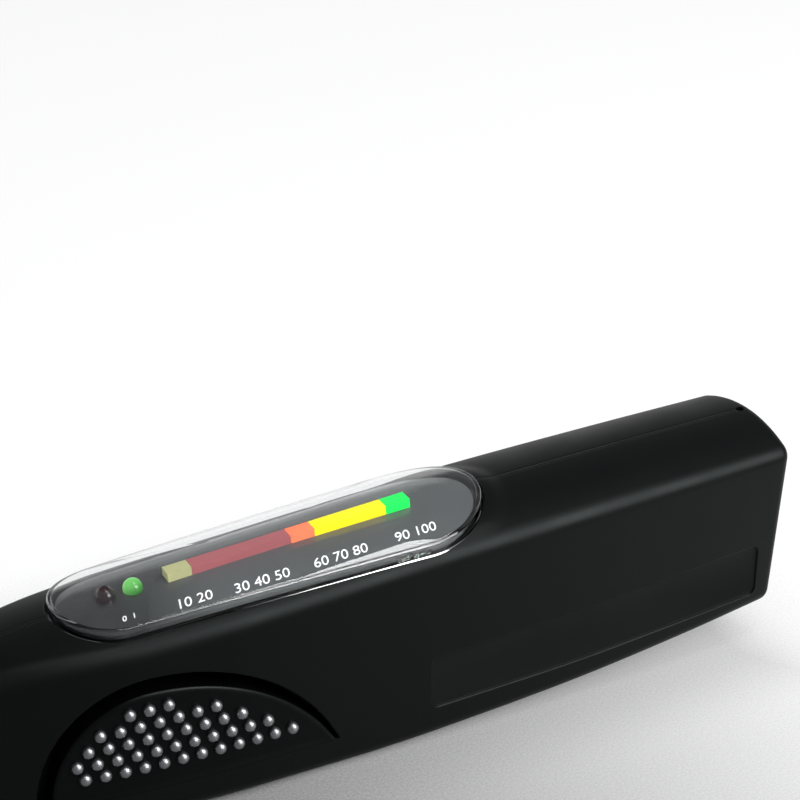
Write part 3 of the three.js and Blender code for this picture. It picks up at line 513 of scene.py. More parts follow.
def label_recess():
    """The shallow bare field along the tail's left side, with soft edges. It climbs with the underside."""
    mouth, foot, shallow, outside = 0.3, 0.25, 0.12, 20

    def bent(offset, depth):
        half_long, half_high, corner = label_length / 2 + offset, label_height / 2 + offset, label_corner + offset
        a, b = half_long - corner, half_high - corner
        bends = [arc(centre, corner, math.pi * (1 + i / 2), math.pi * (1.5 + i / 2), 8)
                 for i, centre in enumerate(((-a, -b), (a, -b), (a, b), (-a, b)))]
        points = []
        for i, bend in enumerate(bends):
            points += bend + even_steps(bend[-1], bends[(i + 1) % 4][0], 60 if i % 2 == 0 else 6)
        ring = []
        for x, z in points:
            place = label_place - x
            middle = case_height * smooth_share(label_middle_shares, place / body_length)
            side = outside if depth is None else case_sizes(place)["half"] - depth
            ring.append(Vector((from_tail(place), -side, middle + z)))
        return ring

    rings = [bent(-foot, label_depth)]
    rings += [bent(mouth * out, (label_depth - shallow) * down) for out, down in quarter(3)]
    rings.append(bent(mouth, None))
    return solid_mesh("label_recess", rings)


def round_tool(radius, start, end, sides=40):
    """A cylinder along Z from start to end, in millimetres."""
    ring = arc((0, 0), radius, 0, 2 * math.pi, sides)[:-1]
    return [[Vector((x, y, z)) for x, y in ring] for z in (start, end)]


def moved(rings, matrix):
    return [[matrix @ p for p in ring] for ring in rings]


deck_slope = math.atan((crown_height(from_tail(lens_rear), 0)
                        - crown_height(from_tail(lens_front), 0)) / lens_length)
deck = Matrix.Translation((lens_middle, 0, crown_height(lens_middle, 0))) @ Matrix.Rotation(-deck_slope, 4, "Y")


def along_deck(distance):
    return (from_tail(distance) - lens_middle) / math.cos(deck_slope)


cover_length = 54
cover_half = 9
bay_front = case_sizes(cover_length)["under"]
bay_slope = math.atan((case_sizes(0)["under"] - bay_front) / cover_length)
bay = Matrix.Translation((from_tail(cover_length), 0, bay_front)) @ Matrix.Rotation(-bay_slope, 4, "Y")
cell_radius = 5.25
button_place = lens_front + 12
button_radius = 2.8
screw_places = [(lens_front + 11.4, 6.18), (lens_rear + 21.8, 9.2), (lens_rear + 13.8, 21.18), (11.5, 33.16)]
cells_aside = 5.4
cells_up = 8.65
cell_room = (2.2, 47.5)
hole_gap = 0.3
notch_radius = 0.7
notch_place = (87.9, 0, 37.7)
screw_depth = 4.8
screw_hole_length = 4.9
screw_hole_radius = 2.1
screw_mouth_radius = 2.35
screw_mouth_side = 13.05


def lid_run(grow):
    half, flange = cover_half + grow, cover_half + grow + 1.2
    seat, top = wall + 0.3 - grow, wall + 1.3 + grow
    section = [(-half, -5), (half, -5), (half, seat), (flange, seat), (flange, top),
               (-flange, top), (-flange, seat), (-half, seat)]
    return [[Vector((x, y, z)) for y, z in section] for x in (0, cover_length + 5)]


def mirror_rings(rings):
    return [[Vector((p.x, -p.y, p.z)) for p in ring] for ring in rings]


def seam_path(depth):
    """The case's outline on the mid-plane, at a depth under its skin, from the nose over the tail and back."""
    marks = [(depth + (tail_round - depth) * away, depth + (tail_round - depth) * inward)
             for away, inward in quarter(5)]
    marks += [(d, depth) for d in stations([(tail_round + 2, case_length, 3)])]
    crown, belly = [], []
    for distance, inset in marks:
        s = case_sizes(distance, inset)
        crown.append((raked(distance, s["top"]), s["top"]))
        belly.append((raked(distance, s["under"]), s["under"]))
    return crown[::-1] + belly


def seam_tongue():
    """The left half's tongue, which stands across the seam and closes it to light."""
    under_skin, inside, back, short = 0.45, 0.1, 0.4, 0.02
    around = seam_path(under_skin) + seam_path(wall - inside)[::-1]
    return [[Vector((x, y, z)) for x, z in around] for y in (-back, seam_gap - short)]


def bay_front_wall():
    """The wall ahead of the cells, in the bay's own place, for the left half."""
    front, rear, side, foot, top = -1.5, -0.02, -11.6, 0.9, 14
    plan = ((front, side), (rear, side), (rear, -seam_gap), (front, -seam_gap))
    return [[Vector((x, y, z)) for x, y in plan] for z in (foot, top)]


def case_half(name, side):
    rings = tail_rings(9) + [half_section(d) for d in stations(case_marks)]
    hollow = [half_section(d, wall, seam=-1, bare=True) for d in stations([(wall, case_length + 2, 3)])]
    bay_wall, backing = bay_front_wall(), grip_backing()
    if side > 0:
        rings, hollow, bay_wall, backing = (mirror_rings(r) for r in (rings, hollow, bay_wall, backing))
    half = set_down(name, solid_mesh(name, rings))
    carve(half, solid_mesh("hollow", hollow))
    carve(half, solid_mesh("bay_wall", moved(bay_wall, bay)), "UNION")
    if side < 0:
        carve(half, solid_mesh("seam_tongue", seam_tongue()), "UNION")
    carve(half, solid_mesh("grip_backing", backing), "UNION")
    carve(half, window_seat())
    recess = grip_recess()
    if side > 0:
        recess.transform(Matrix.Scale(-1, 4, (0, 1, 0)))
        recess.flip_normals()
    carve(half, recess)
    carve(half, solid_mesh("lid_run", moved(lid_run(0.3), bay)))
    lying = bay @ Matrix.Translation((0, side * cells_aside, cells_up)) @ Matrix.Rotation(math.pi / 2, 4, "Y")
    on_deck = deck @ Matrix.Translation((along_deck(button_place), 0, 0))
    for tool, cut, at in (
            ("cell_room", round_tool(cell_radius + hole_gap, *cell_room), lying),
            ("button_hole", round_tool(button_radius + hole_gap, -6, 6), on_deck),
            ("seam_notch", round_tool(notch_radius, -1.2, 3), Matrix.Translation(notch_place))):
        carve(half, solid_mesh(tool, moved(cut, at)))
    if side < 0:
        carve(half, label_recess())
    else:
        sideways = Matrix.Rotation(-math.pi / 2, 4, "X")
        for distance, z in screw_places:
            seat = case_sizes(distance)["half"] - screw_depth
            at = Matrix.Translation((from_tail(distance), 0, z)) @ sideways
            mouth = screw_mouth_side if distance < lens_front else seat + screw_hole_length  # the nose narrows
            hole = round_tool(screw_hole_radius, seat, mouth, 36) + round_tool(screw_mouth_radius, 20, 21, 36)
            carve(half, solid_mesh("screw_hole", moved(hole, at)))
    return half


def follow_skin(piece, side):
    """Gives the moulding's outer faces the normals of its smooth, uncut skin."""
    reach, near, alike = 1 * MM, 0.03 * MM, 0.97
    last_start, _, last_pitch = case_marks[-1]
    marks = case_marks[:-1] + [(last_start, case_length + 1, last_pitch)]
    rings = tail_rings(9) + [half_section(d) for d in stations(marks)]
    if side > 0:
        rings = mirror_rings(rings)
    size = len(rings[0])
    skin = made_mesh("skin", rings, skin_faces(len(rings), size, closed=False))
    if skin.polygons[len(skin.polygons) // 2].normal.y * side < 0:
        skin.flip_normals()
    skin.calc_loop_triangles()
    corners = [tuple(t.vertices) for t in skin.loop_triangles]
    points = [v.co.copy() for v in skin.vertices]
    normals = [v.normal.copy() for v in skin.vertices]
    finder = BVHTree.FromPolygons(points, corners)
    mesh = piece.data
    mesh.set_sharp_from_angle(angle=math.radians(32))
    turned = [Vector(n.vector) for n in mesh.corner_normals]
    for face in mesh.polygons:
        hit, normal, _, gap = finder.find_nearest(face.center, reach)
        if hit is None or gap > near or abs(normal.dot(face.normal)) < alike:
            continue
        for loop in face.loop_indices:
            spot = mesh.vertices[mesh.loops[loop].vertex_index].co
            hit, _, index, gap = finder.find_nearest(spot, reach)
            if hit is None or gap > near:
                continue
            a, b, c = corners[index]
            ends = [points[a], points[b], points[c]]
            area = (ends[1] - ends[0]).cross(ends[2] - ends[0]).length
            if area <= 0:
                continue
            share_a = (ends[1] - hit).cross(ends[2] - hit).length / area
            share_b = (ends[2] - hit).cross(ends[0] - hit).length / area
            blend = normals[a] * share_a + normals[b] * share_b + normals[c] * max(0, 1 - share_a - share_b)
            if blend.dot(face.normal) > 0:
                turned[loop] = blend.normalized()
    mesh.normals_split_custom_set(turned)
    bpy.data.meshes.remove(skin)


left_case = case_half("left_case", -1)
right_case = case_half("right_case", 1)
follow_skin(left_case, -1)
follow_skin(right_case, 1)


def new_group(name, inputs, outputs):
    """A shader node group with its sockets, and its input and output nodes."""
    group = bpy.data.node_groups.new(name, "ShaderNodeTree")
    for way, sockets in (("INPUT", inputs), ("OUTPUT", outputs)):
        for socket, kind in sockets.items():
            group.interface.new_socket(socket, in_out=way, socket_type="NodeSocket" + kind)
    return group, group.nodes.new("NodeGroupInput"), group.nodes.new("NodeGroupOutput")


def grain_group():
    """Spark-eroded grain: fine pits over slow drifts in gloss."""
    group, given, result = new_group(
        "moulded_grain", {"Pitch": "Float", "Depth": "Float", "Gloss Low": "Float", "Gloss High": "Float"},
        {"Roughness": "Float", "Normal": "Vector"})
    where = add_node(group, "TexCoord"), "Object"
    pits = noise(group, (given, "Pitch"), Vector=where, Detail=4, Roughness=0.65)
    drift = noise(group, 90, Vector=where, Detail=3)
    bump = add_node(group, "Bump", {"Distance": (given, "Depth"), "Height": pits})
    gloss = ranged(group, drift, 0.3, 0.7, (given, "Gloss Low"), (given, "Gloss High"))
    feed(result, {"Roughness": gloss, "Normal": (bump, "Normal")})
    return group


moulded_grain = grain_group()


def grained_finish(name, colour, pitch, depth, gloss, specular):
    material, tree, shader = new_finish(name)
    grain = add_node(tree, "Group", node_tree=moulded_grain)
    feed(grain, {"Pitch": pitch, "Depth": depth, "Gloss Low": gloss[0], "Gloss High": gloss[1]})
    feed(shader, {
        "Base Color": (*colour, 1), "Specular IOR Level": specular, "Specular Tint": (0.9, 1, 0.98, 1),
        "Roughness": (grain, "Roughness"), "Normal": (grain, "Normal"),
    })
    return material


case_finish = grained_finish("case_satin_black", (0.0011, 0.0011, 0.0012), 3200, 0.000008, (0.4, 0.48), 0.13)


def fit_out(piece, material, body, nodes, crease=None):
    """Gives a piece its finish, its body and the nodes that it stands for, and sharpens its creases."""
    if crease:
        piece.data.set_sharp_from_angle(angle=math.radians(crease))
    piece.data.materials.clear()
    piece.data.materials.append(material)
    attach(piece, body)
    if nodes:
        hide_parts(*nodes)


fit_out(left_case, case_finish, "case", ["left_shell"])
fit_out(right_case, case_finish, "case", ["right_shell"])


# Window: one clear acrylic moulding with an upright rim and a slightly domed roof, polished all over.
# Its skirt stands in the case's seat and holds the panel down.
def drawn_in(offset, share, height):
    """The window's outline, drawn in towards its middle and set at a height over the crown."""
    middle = Vector((lens_middle, 0))
    spots = [middle.lerp(Vector(spot), share) for spot in lens_outline(offset)]
    return [Vector((p.x, p.y, crown_height(p.x, p.y) + height)) for p in spots]


def window_mesh():
    edge, inner_edge, thick, rim, doming, skin = 0.4, 0.08, 0.75, 1.5, 0.65, 0.35
    rings = [over_outline(0, -0.9), over_outline(0, -0.3), over_outline(0, 0.5), over_outline(0, rim - edge)]
    for i in range(1, 7):
        turn = math.radians(82) * i / 6
        rings.append(over_outline(-edge * (1 - math.cos(turn)), rim - edge + edge * math.sin(turn)))
    shares = [0.985, 0.96, 0.92, 0.86, 0.78, 0.68, 0.56, 0.42, 0.26, 0.1]
    rings += [drawn_in(-edge, share, rim + doming * (1 - share ** 2)) for share in shares]
    outer = len(rings)
    rings += [drawn_in(-thick - inner_edge, share, rim + doming * (1 - share ** 2) - skin)
              for share in reversed(shares)]
    for i in range(6, -1, -1):
        turn = math.pi / 2 * i / 6
        drop = rim - skin - inner_edge + inner_edge * math.sin(turn)
        rings.append(over_outline(-thick - inner_edge * (1 - math.cos(turn)), drop))
    rings += [over_outline(-thick, 0.2), over_outline(-thick, -0.9)]
    size = len(rings[0])
    faces = [f for i, f in enumerate(skin_faces(len(rings), size)) if i // size != outer - 1]
    for j in range(size):
        faces.append((j, (j + 1) % size, (len(rings) - 1) * size + (j + 1) % size, (len(rings) - 1) * size + j))
    faces.append(tuple(range((outer - 1) * size, outer * size)))
    faces.append(tuple(range(outer * size, (outer + 1) * size)))
    return made_mesh("window", rings, faces)


acrylic, tree, shader = new_finish("clear_acrylic")
smears = noise(tree, 70, Detail=3)
feed(shader, {
    "Base Color": (0.97, 0.985, 0.985, 1), "Transmission Weight": 1, "IOR": 1.49,
    "Roughness": ranged(tree, smears, 0.5, 0.75, 0, 0.03),
})
passing = add_node(tree, "LightPath")
clear = add_node(tree, "BsdfTransparent")
either = add_node(tree, "MixShader", {"Fac": (passing, "Is Shadow Ray"), 1: (shader, "BSDF"), 2: (clear, "BSDF")})
feed(tree.nodes["Material Output"], {"Surface": (either, "Shader")})
fit_out(set_down("window", window_mesh()), acrylic, "case", ["display_lens"], crease=40)


def gate_scar_mesh():
    """Where the moulding's gate was snapped off the rim: a few sharp clear chips."""
    chips = random.Random(7)
    count, start, pitch = 9, 17.6, 0.62
    work = bmesh.new()
    for i in range(count):
        x = start + i * pitch + chips.uniform(-0.2, 0.2)
        half = lens_front_half + (lens_rear_half - lens_front_half) * (x - lens_front_centre) / (
            lens_rear_centre - lens_front_centre)
        z = crown_height(x, -half) + chips.uniform(0.25, 0.75)
        size = chips.uniform(0.22, 0.42)
        made = bmesh.ops.create_icosphere(work, subdivisions=1, radius=size * MM)["verts"]
        turn = Matrix.Rotation(chips.uniform(0, 3), 4, "X") @ Matrix.Rotation(chips.uniform(0, 3), 4, "Z")
        shape = Matrix.Translation(Vector((x, -half - 0.05, z)) * MM) @ turn @ Matrix.Diagonal((1.6, 0.7, 0.9, 1))
        bmesh.ops.transform(work, matrix=shape, verts=made)
    mesh = bpy.data.meshes.new("gate_scar")
    work.to_mesh(mesh)
    work.free()
    return mesh


fit_out(set_down("gate_scar", gate_scar_mesh()), acrylic, "case", [])


# Panel: a thin grey moulding with a high gloss, which follows the crown under the window. Its tone is painted
# darker towards the lamps, a painted shade. The scale on it is printed in white.
def panel_mesh():
    inset, under, top = 1.25, -0.9, -0.3
    shares = [1, 0.97, 0.9, 0.8, 0.68, 0.55, 0.4, 0.25, 0.1]
    return solid_mesh("panel", [drawn_in(-inset, share, under) for share in reversed(shares)]
                      + [drawn_in(-inset, share, top) for share in shares])


panel_grey, tree, shader = new_finish("panel_gloss_grey_painted_shade")
tint = blended(tree, noise(tree, 140), (0.046, 0.049, 0.051, 1), (0.056, 0.06, 0.062, 1))
where = add_node(tree, "TexCoord")
along = add_node(tree, "SeparateXYZ", {"Vector": (where, "Object")})
# Painted shade: the tone darkens towards the lamps.
painted_shade_to_lamps = ranged(tree, (along, "X"), -0.008, -0.026, kind="SMOOTHSTEP")
feed(shader, {
    "Base Color": blended(tree, painted_shade_to_lamps, tint, (0.012, 0.013, 0.014, 1)),
    "Roughness": 0.09, "Specular IOR Level": 0.6,
})
fit_out(set_down("panel", panel_mesh()), panel_grey, "case", ["display_plate"], crease=40)

ink, tree, shader = new_finish("printed_white")
cover = blended(tree, noise(tree, 5000), (0.62, 0.63, 0.64, 1), (0.82, 0.83, 0.84, 1))
feed(shader, {"Base Color": cover, "Roughness": 0.5})


def printed(name, words, x, y, height):
    """Plain numbers laid on the panel, which read from the left side."""
    digit_share, under_crown, run = 0.7, 0.27, 4
    text = bpy.data.curves.new(name, "FONT")
    text.body = words
    text.size = height * MM / digit_share
    text.extrude = 0.00001
    text.shear = 0.25
    text.resolution_u = 6
    spot = set_down(name, text)
    lean = math.asin(y / case_sizes(overall_length / 2 - x)["crown"])
    slope = math.atan((crown_height(x + run, y) - crown_height(x, y)) / run)
    turn = Matrix.Rotation(-slope, 4, "Y") @ Matrix.Rotation(-lean, 4, "X")
    spot.matrix_world = Matrix.Translation(Vector((x, y, crown_height(x, y) - under_crown)) * MM) @ turn
    text.materials.append(ink)
    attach(spot, "case")


for name, words, x, y, height in (
        ("scale_a", "10 20", -16.9, -7.3, 1.8), ("scale_b", "30 40 50", -7.9, -7.8, 1.8),
        ("scale_c", "60 70 80", 5.1, -7.8, 1.8), ("scale_d", "90 100", 18.9, -7.7, 1.8),
        ("lamp_marks", "0  1", -24.9, -6.2, 1.0)):
    printed(name, words, x, y, height)


# Light bar: five moulded light guides, tinted right through, that stand from the board to above the panel.
# Beside them are two 3 mm lamps with domed epoxy lenses: one lit green, the other unlit and dark red.
def lit_finish(name, body_colour, light_colour, strength):
    material, tree, shader = new_finish(name)
    cloud = noise(tree, 420, Detail=2)
    dimmer = 0.86
    for socket, colour in (("Base Color", body_colour), ("Emission Color", light_colour)):
        feed(shader, {socket: blended(tree, cloud, (*[c * dimmer for c in colour], 1), (*colour, 1))})
    feed(shader, {"Emission Strength": strength, "Roughness": 0.28, "Specular IOR Level": 0.05})
    return material


def dress_node(name, material, bevel=0.0):
    """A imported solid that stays, with its edges broken and its own finish."""
    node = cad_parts[name]
    if bevel:
        broken = node.modifiers.new("broken_edges", "BEVEL")
        broken.width = bevel * MM
        broken.segments = 2
        broken.limit_method = "ANGLE"
        broken.angle_limit = math.radians(35)
        broken.harden_normals = True
    node.data.materials.clear()
    node.data.materials.append(material)


bar_lights = {
    "bar_range_5": ((0.002, 0.3, 0.04), (0.0, 1.0, 0.1), 0.9),
    "bar_range_4": ((0.4, 0.3, 0.002), (1.0, 0.82, 0.0), 0.9),
    "bar_range_3": ((0.4, 0.09, 0.04), (1.0, 0.19, 0.09), 0.85),
    "bar_range_2": ((0.16, 0.05, 0.055), (0.5, 0.13, 0.145), 0.42),
    "bar_range_1": ((0.2, 0.2, 0.1), (0.55, 0.55, 0.28), 0.42),
}
for name, (body_colour, light_colour, strength) in bar_lights.items():
    dress_node(name, lit_finish(name + "_tinted", body_colour, light_colour, strength), bevel=0.07)


def turned(profile, sides):
    """Rings about Z from (radius, height) pairs, in millimetres."""
    circle = [2 * math.pi * i / sides for i in range(sides)]
    return [[Vector((r * math.cos(a), r * math.sin(a), height)) for a in circle] for r, height in profile]


def lamp(name, place, material, node, slot):
    radius, top, foot = 1.5, 1.28, -4.45
    flange, chamfer, flange_height = 1.85, 0.1, 1
    profile = [(0.2, foot), (flange - chamfer, foot), (flange, foot + chamfer), (flange, foot + 0.9),
               (flange - chamfer, foot + flange_height), (radius, foot + 1.02), (radius, -2), (radius, top - radius)]
    profile += [(max(r, 0.02), z) for r, z in arc((0, top - radius), radius, 0, math.pi / 2, 14)[1:]]
    mesh = solid_mesh(name, turned(profile, 48))
    stand = Matrix.Translation((along_deck(place), 0, 0))
    mesh.transform(Matrix.Scale(MM, 4) @ deck @ stand @ Matrix.Scale(1 / MM, 4))
    fit_out(set_down(name, mesh), material, "case", [node], crease=50)


def epoxy_with_painted_highlight(name, body_colour, foot_light, top_light_and_painted_highlight, strength):
    """Tinted clear epoxy whose glow is painted brighter towards the top of the dome, a painted highlight."""
    material, tree, shader = new_finish(name)
    where = add_node(tree, "TexCoord")
    toward = add_node(tree, "VectorMath", {0: (where, "Generated"), 1: (-0.3, 0.25, 0.9)}, operation="DOT_PRODUCT")
    painted_highlight_climb = ranged(tree, (toward, "Value"), 0.45, 0.95, kind="SMOOTHSTEP")
    feed(shader, {
        "Base Color": (*body_colour, 1), "Roughness": 0.05, "Specular IOR Level": 0.5,
        "Emission Color": blended(tree, painted_highlight_climb, (*foot_light, 1), (*top_light_and_painted_highlight, 1)), "Emission Strength": strength,
    })
    return material


# The green lamp is lit. The red one is unlit, and its faint glow is painted.
green_epoxy = epoxy_with_painted_highlight("lamp_green_lit_painted_highlight", (0.005, 0.06, 0.005), (0.01, 0.12, 0.005), (0.26, 0.85, 0.2), 0.7)
red_epoxy = epoxy_with_painted_highlight("lamp_red_unlit_painted_glow", (0.003, 0.0002, 0.001), (0.005, 0.0, 0.001), (0.05, 0.0, 0.012), 0.2)
lamp("green_lamp", lens_front - 12.9, green_epoxy, "ready_led", "lamp_green")
lamp("red_lamp", lens_front - 8.6, red_epoxy, "warning_led", "lamp_red_dark")


# Grips: a half-moon moulding in a finer, darker grain on each side. It lies flush along its straight foot, and
# its rounded edge stands in a groove. A stamped plate lies behind it, and its domed studs come through.
def pad_mesh():
    edge, back, set_back, settling, rounding, dip = 0.42, 8.0, 0.12, 1.5, 0.6, 0.1
    centre = Vector((from_tail(grip_top_place) + 4, 12.2))

    def above_foot(reach, z):
        return smoothstep(grip_chord_height, grip_chord_height + reach, z)

    def face(x, z):
        """The pad lies flush with the case along its straight foot and stands a little back above it."""
        return set_back * above_foot(settling, z) - side_half(x)

    rings = [[Vector((x, -back, z)) for x, z in grip_outline(0, chord_gap=close_fit)]]
    for out, down in quarter(5):
        rings.append([Vector((x, edge * down * above_foot(rounding, z) + face(x, z), z))
                      for x, z in grip_outline(-edge * out, chord_gap=close_fit)])
    for share in (0.985, 0.95, 0.88, 0.78, 0.66, 0.52, 0.36, 0.2, 0.06):
        spots = [centre.lerp(Vector(spot), share) for spot in grip_outline(-edge, chord_gap=close_fit)]
        rings.append([Vector((p.x, face(p.x, p.y) + dip * smoothstep(1, 0.9, share), p.y)) for p in spots])
    return solid_mesh("grip_pad", rings)


stud_rows = [(0, 12), (-0.36, 11), (0.24, 9), (0.88, 7), (2.41, 3)]
stud_pitch = 2.94
stud_rise = 2.44
stud_tilt = 0.012
stud_reach = 10.55
stud_first_height = 10.1


def stud_places():
    """The rows fan out a little: each tilts more than the one below."""
    places = []
    for row, (start, count) in enumerate(stud_rows):
        for i in range(count):
            beyond = (start + i) * stud_pitch - stud_reach
            height = stud_first_height + row * (stud_rise + stud_tilt * beyond)
            places.append((from_tail(grip_top_place) + beyond, height))
    return places


def contact_mesh():
    """The stamped plate and its drawn studs, as one mesh."""
    work = bmesh.new()
    inset, plate_face, plate_thickness = 1.2, -7.2, 0.4
    outline = grip_outline(-inset, rear_steps=24, front_steps=16, chord_steps=12)
    front = [work.verts.new(Vector((x, plate_face, z)) * MM) for x, z in outline]
    back = [work.verts.new((Vector((x, plate_face, z)) + Vector((0, plate_thickness, 0))) * MM) for x, z in outline]
    work.faces.new(front)
    work.faces.new(list(reversed(back)))
    for i in range(len(front)):
        j = (i + 1) % len(front)
        work.faces.new((front[i], back[i], back[j], front[j]))
    radius, rise, sides = 0.95, 0.82, 24
    for x, z in stud_places():
        face = side_half(x)
        rows = [(radius, plate_face - 0.1), (radius, -face + 0.1)]
        rows += [(radius * math.cos(t), -face - rise * math.sin(t)) for t in (math.pi / 2 * i / 8 for i in range(8))]
        loops = []
        for r, y in rows:
            loops.append([work.verts.new(Vector((x + r * math.cos(a), y, z + r * math.sin(a))) * MM)
                          for a in (2 * math.pi * i / sides for i in range(sides))])
        crown = work.verts.new(Vector((x, -face - rise, z)) * MM)
        work.faces.new(loops[0])
        for low, high in zip(loops, loops[1:]):
            for i in range(sides):
                j = (i + 1) % sides
                work.faces.new((low[i], low[j], high[j], high[i]))
        for i in range(sides):
            work.faces.new((loops[-1][i], loops[-1][(i + 1) % sides], crown))
    bmesh.ops.recalc_face_normals(work, faces=work.faces)
    mesh = bpy.data.meshes.new("contact")
    work.to_mesh(mesh)
    work.free()
    mesh.polygons.foreach_set("use_smooth", [True] * len(mesh.polygons))
    return mesh


def mirror_mesh(mesh):
    other = mesh.copy()
    other.transform(Matrix.Scale(-1, 4, (0, 1, 0)))
    other.flip_normals()
    return other


def uneven_group():
    """Tone and gloss that drift together between two values, as on worked metal and moulded plastic."""
    group, given, result = new_group("uneven_surface", {
        "Scale": "Float", "Detail": "Float", "Low Colour": "Color", "High Colour": "Color",
        "Gloss Low": "Float", "Gloss High": "Float"}, {"Colour": "Color", "Roughness": "Float"})
    drift = noise(group, (given, "Scale"), Detail=(given, "Detail"))
    feed(result, {
        "Colour": blended(group, drift, (given, "Low Colour"), (given, "High Colour")),
        "Roughness": ranged(group, drift, 0, 1, (given, "Gloss Low"), (given, "Gloss High")),
    })
    return group


uneven_surface = uneven_group()


def uneven_finish(name, low_colour, high_colour, gloss, scale, detail, metallic):
    material, tree, shader = new_finish(name)
    drift = add_node(tree, "Group", node_tree=uneven_surface)
    feed(drift, {
        "Scale": scale, "Detail": detail, "Low Colour": (*low_colour, 1), "High Colour": (*high_colour, 1),
        "Gloss Low": gloss[0], "Gloss High": gloss[1],
    })
    feed(shader, {"Metallic": metallic, "Base Color": (drift, "Colour"), "Roughness": (drift, "Roughness")})
    return material


pad_finish = grained_finish("grip_fine_black", (0.0006, 0.0006, 0.0007), 5200, 0.000004, (0.34, 0.44), 0.12)
plated = uneven_finish("stud_bright_plated", (0.24, 0.245, 0.255), (0.36, 0.365, 0.375), (0.34, 0.42), 900, 2, 1)
for name, shape, crease, material, node, slot in (
        ("pad", pad_mesh(), 40, pad_finish, "grip_pad", "grip"),
        ("studs", contact_mesh(), 50, plated, "grip_contact", "stud")):
    shape.set_sharp_from_angle(angle=math.radians(crease))
    for side, mesh in (("left", shape), ("right", mirror_mesh(shape))):
        fit_out(set_down(f"{side}_{name}", mesh), material, "case", [f"{side}_{node}"])


# Power button: a small round cap on the nose, in the grips' finer grain, with a dished top.
# It drops onto a switch on the board and springs back.
def button_mesh():
    sides, flange, flange_height, foot, proud, edge, dish = 56, 0.9, 0.7, -5.4, 0.6, 0.25, 0.16
    place = along_deck(button_place)
    circle = [2 * math.pi * i / sides for i in range(sides)]

    def level(radius, height):
        return [deck @ Vector((place + radius * math.cos(a), radius * math.sin(a), height)) for a in circle]

    def over_skin(radius, lift):
        ring = []
        for a in circle:
            at = Vector((place + radius * math.cos(a), radius * math.sin(a), 0))
            for _ in range(4):
                p = deck @ at
                at.z += (crown_height(p.x, p.y) + lift - p.z) / math.cos(deck_slope)
            ring.append(deck @ at)
        return ring

    rings = [level(button_radius + flange, foot), level(button_radius + flange, foot + flange_height),
             level(button_radius, foot + flange_height), over_skin(button_radius, -0.4)]
    rings += [over_skin(button_radius - edge * out, proud - edge * down) for out, down in quarter(5)]
    rings += [over_skin((button_radius - edge) * share, proud - dish * (1 - share ** 2))
              for share in (0.94, 0.84, 0.7, 0.5, 0.25, 0.04)]
    return solid_mesh("button", rings)


fit_out(set_down("button", button_mesh()), pad_finish, "power_button", ["power_button"], crease=40)


# Nose and probe: a moulded cone, a turned steel bush and a copper tip on a sprung plunger in a brass tube.
# The wire behind them goes back to the board.
metal = {"detail": 4, "metallic": 1}
steel = uneven_finish("spring_steel", (0.42, 0.43, 0.45), (0.58, 0.59, 0.6), (0.22, 0.36), 600, **metal)
copper = uneven_finish("tip_copper", (0.55, 0.24, 0.13), (0.72, 0.36, 0.2), (0.2, 0.4), 1500, **metal)
brass = uneven_finish("tube_brass", (0.6, 0.42, 0.16), (0.74, 0.56, 0.26), (0.18, 0.32), 600, **metal)
nose_sizes = case_sizes(case_length)
probe_axis = (Matrix.Translation((from_tail(overall_length), 0, (nose_sizes["top"] + nose_sizes["under"]) / 2))
              @ Matrix.Rotation(math.pi / 2, 4, "Y"))


def nose_ring(distance, inset=0.0):
    half = half_section(distance, inset, seam=0.0, bare=True)
    return half + [Vector((p.x, -p.y, p.z)) for p in half[-2:0:-1]]


def nose_mesh():
    """The cone goes on from the case's skin, with a spigot behind it that sits inside the halves."""
    gap, edge, spigot = 0.3, 0.15, 4
    rings = [nose_ring(case_length - spigot, wall + gap), nose_ring(case_length + gap + 0.1, wall + gap)]
    rings += [nose_ring(case_length + gap + edge * share, edge * (1 - share) ** 2) for share in (0.0, 0.3, 0.6, 1.0)]
    rings += [nose_ring(case_length + gap + edge + 0.7 * i) for i in range(1, 16)]
    rings += [nose_ring(body_length - edge * (1 - share), edge * share ** 2) for share in (0.0, 0.4, 0.7, 1.0)]
    return solid_mesh("nose", rings)


def spun(profile, sides=64):
    """Rings about the probe's axis from (radius, distance from the tip) pairs."""
    return moved(turned(profile, sides), probe_axis)


def tube_mesh(name, profile):
    """A turned piece with a hole right through: its profile runs out along the wall and back along the bore."""
    rings = spun(profile)
    size = len(rings[0])
    rear = (len(rings) - 1) * size
    faces = skin_faces(len(rings), size)
    faces += [(j, (j + 1) % size, rear + (j + 1) % size, rear + j) for j in range(size)]
    return made_mesh(name, rings, faces)


bush_rear = 12.7
nose = set_down("nose", nose_mesh())
carve(nose, solid_mesh("stem_bore", spun([(2.2, 2), (2.2, 13)])))
carve(nose, solid_mesh("housing_bore", spun([(2.6, bush_rear), (2.6, 30)])))
bush = set_down("bush", tube_mesh("bush", [
    (1.0, 6.6), (1.08, 6.5), (1.2, 6.5), (1.32, 6.58), (2.5, 9.35), (2.6, 9.5), (2.6, 9.64), (2.54, 9.7),
    (1.9, 9.7), (1.9, bush_rear), (1.0, bush_rear)]))
tip = set_down("tip", solid_mesh("tip", spun([
    (0.06, 0), (0.17, 0.03), (0.25, 0.11), (0.3, 0.26), (0.66, 2.26), (0.69, 2.4), (0.7, 2.6),
    (0.7, bush_rear)], 40)))
fit_out(nose, case_finish, "case", ["nose_cone"], crease=35)
fit_out(bush, steel, "case", ["probe_bush"], crease=35)
fit_out(tip, copper, "probe", ["probe_tip"], crease=35)
dress_node("probe_plunger", steel, bevel=0.15)
dress_node("probe_housing", brass)


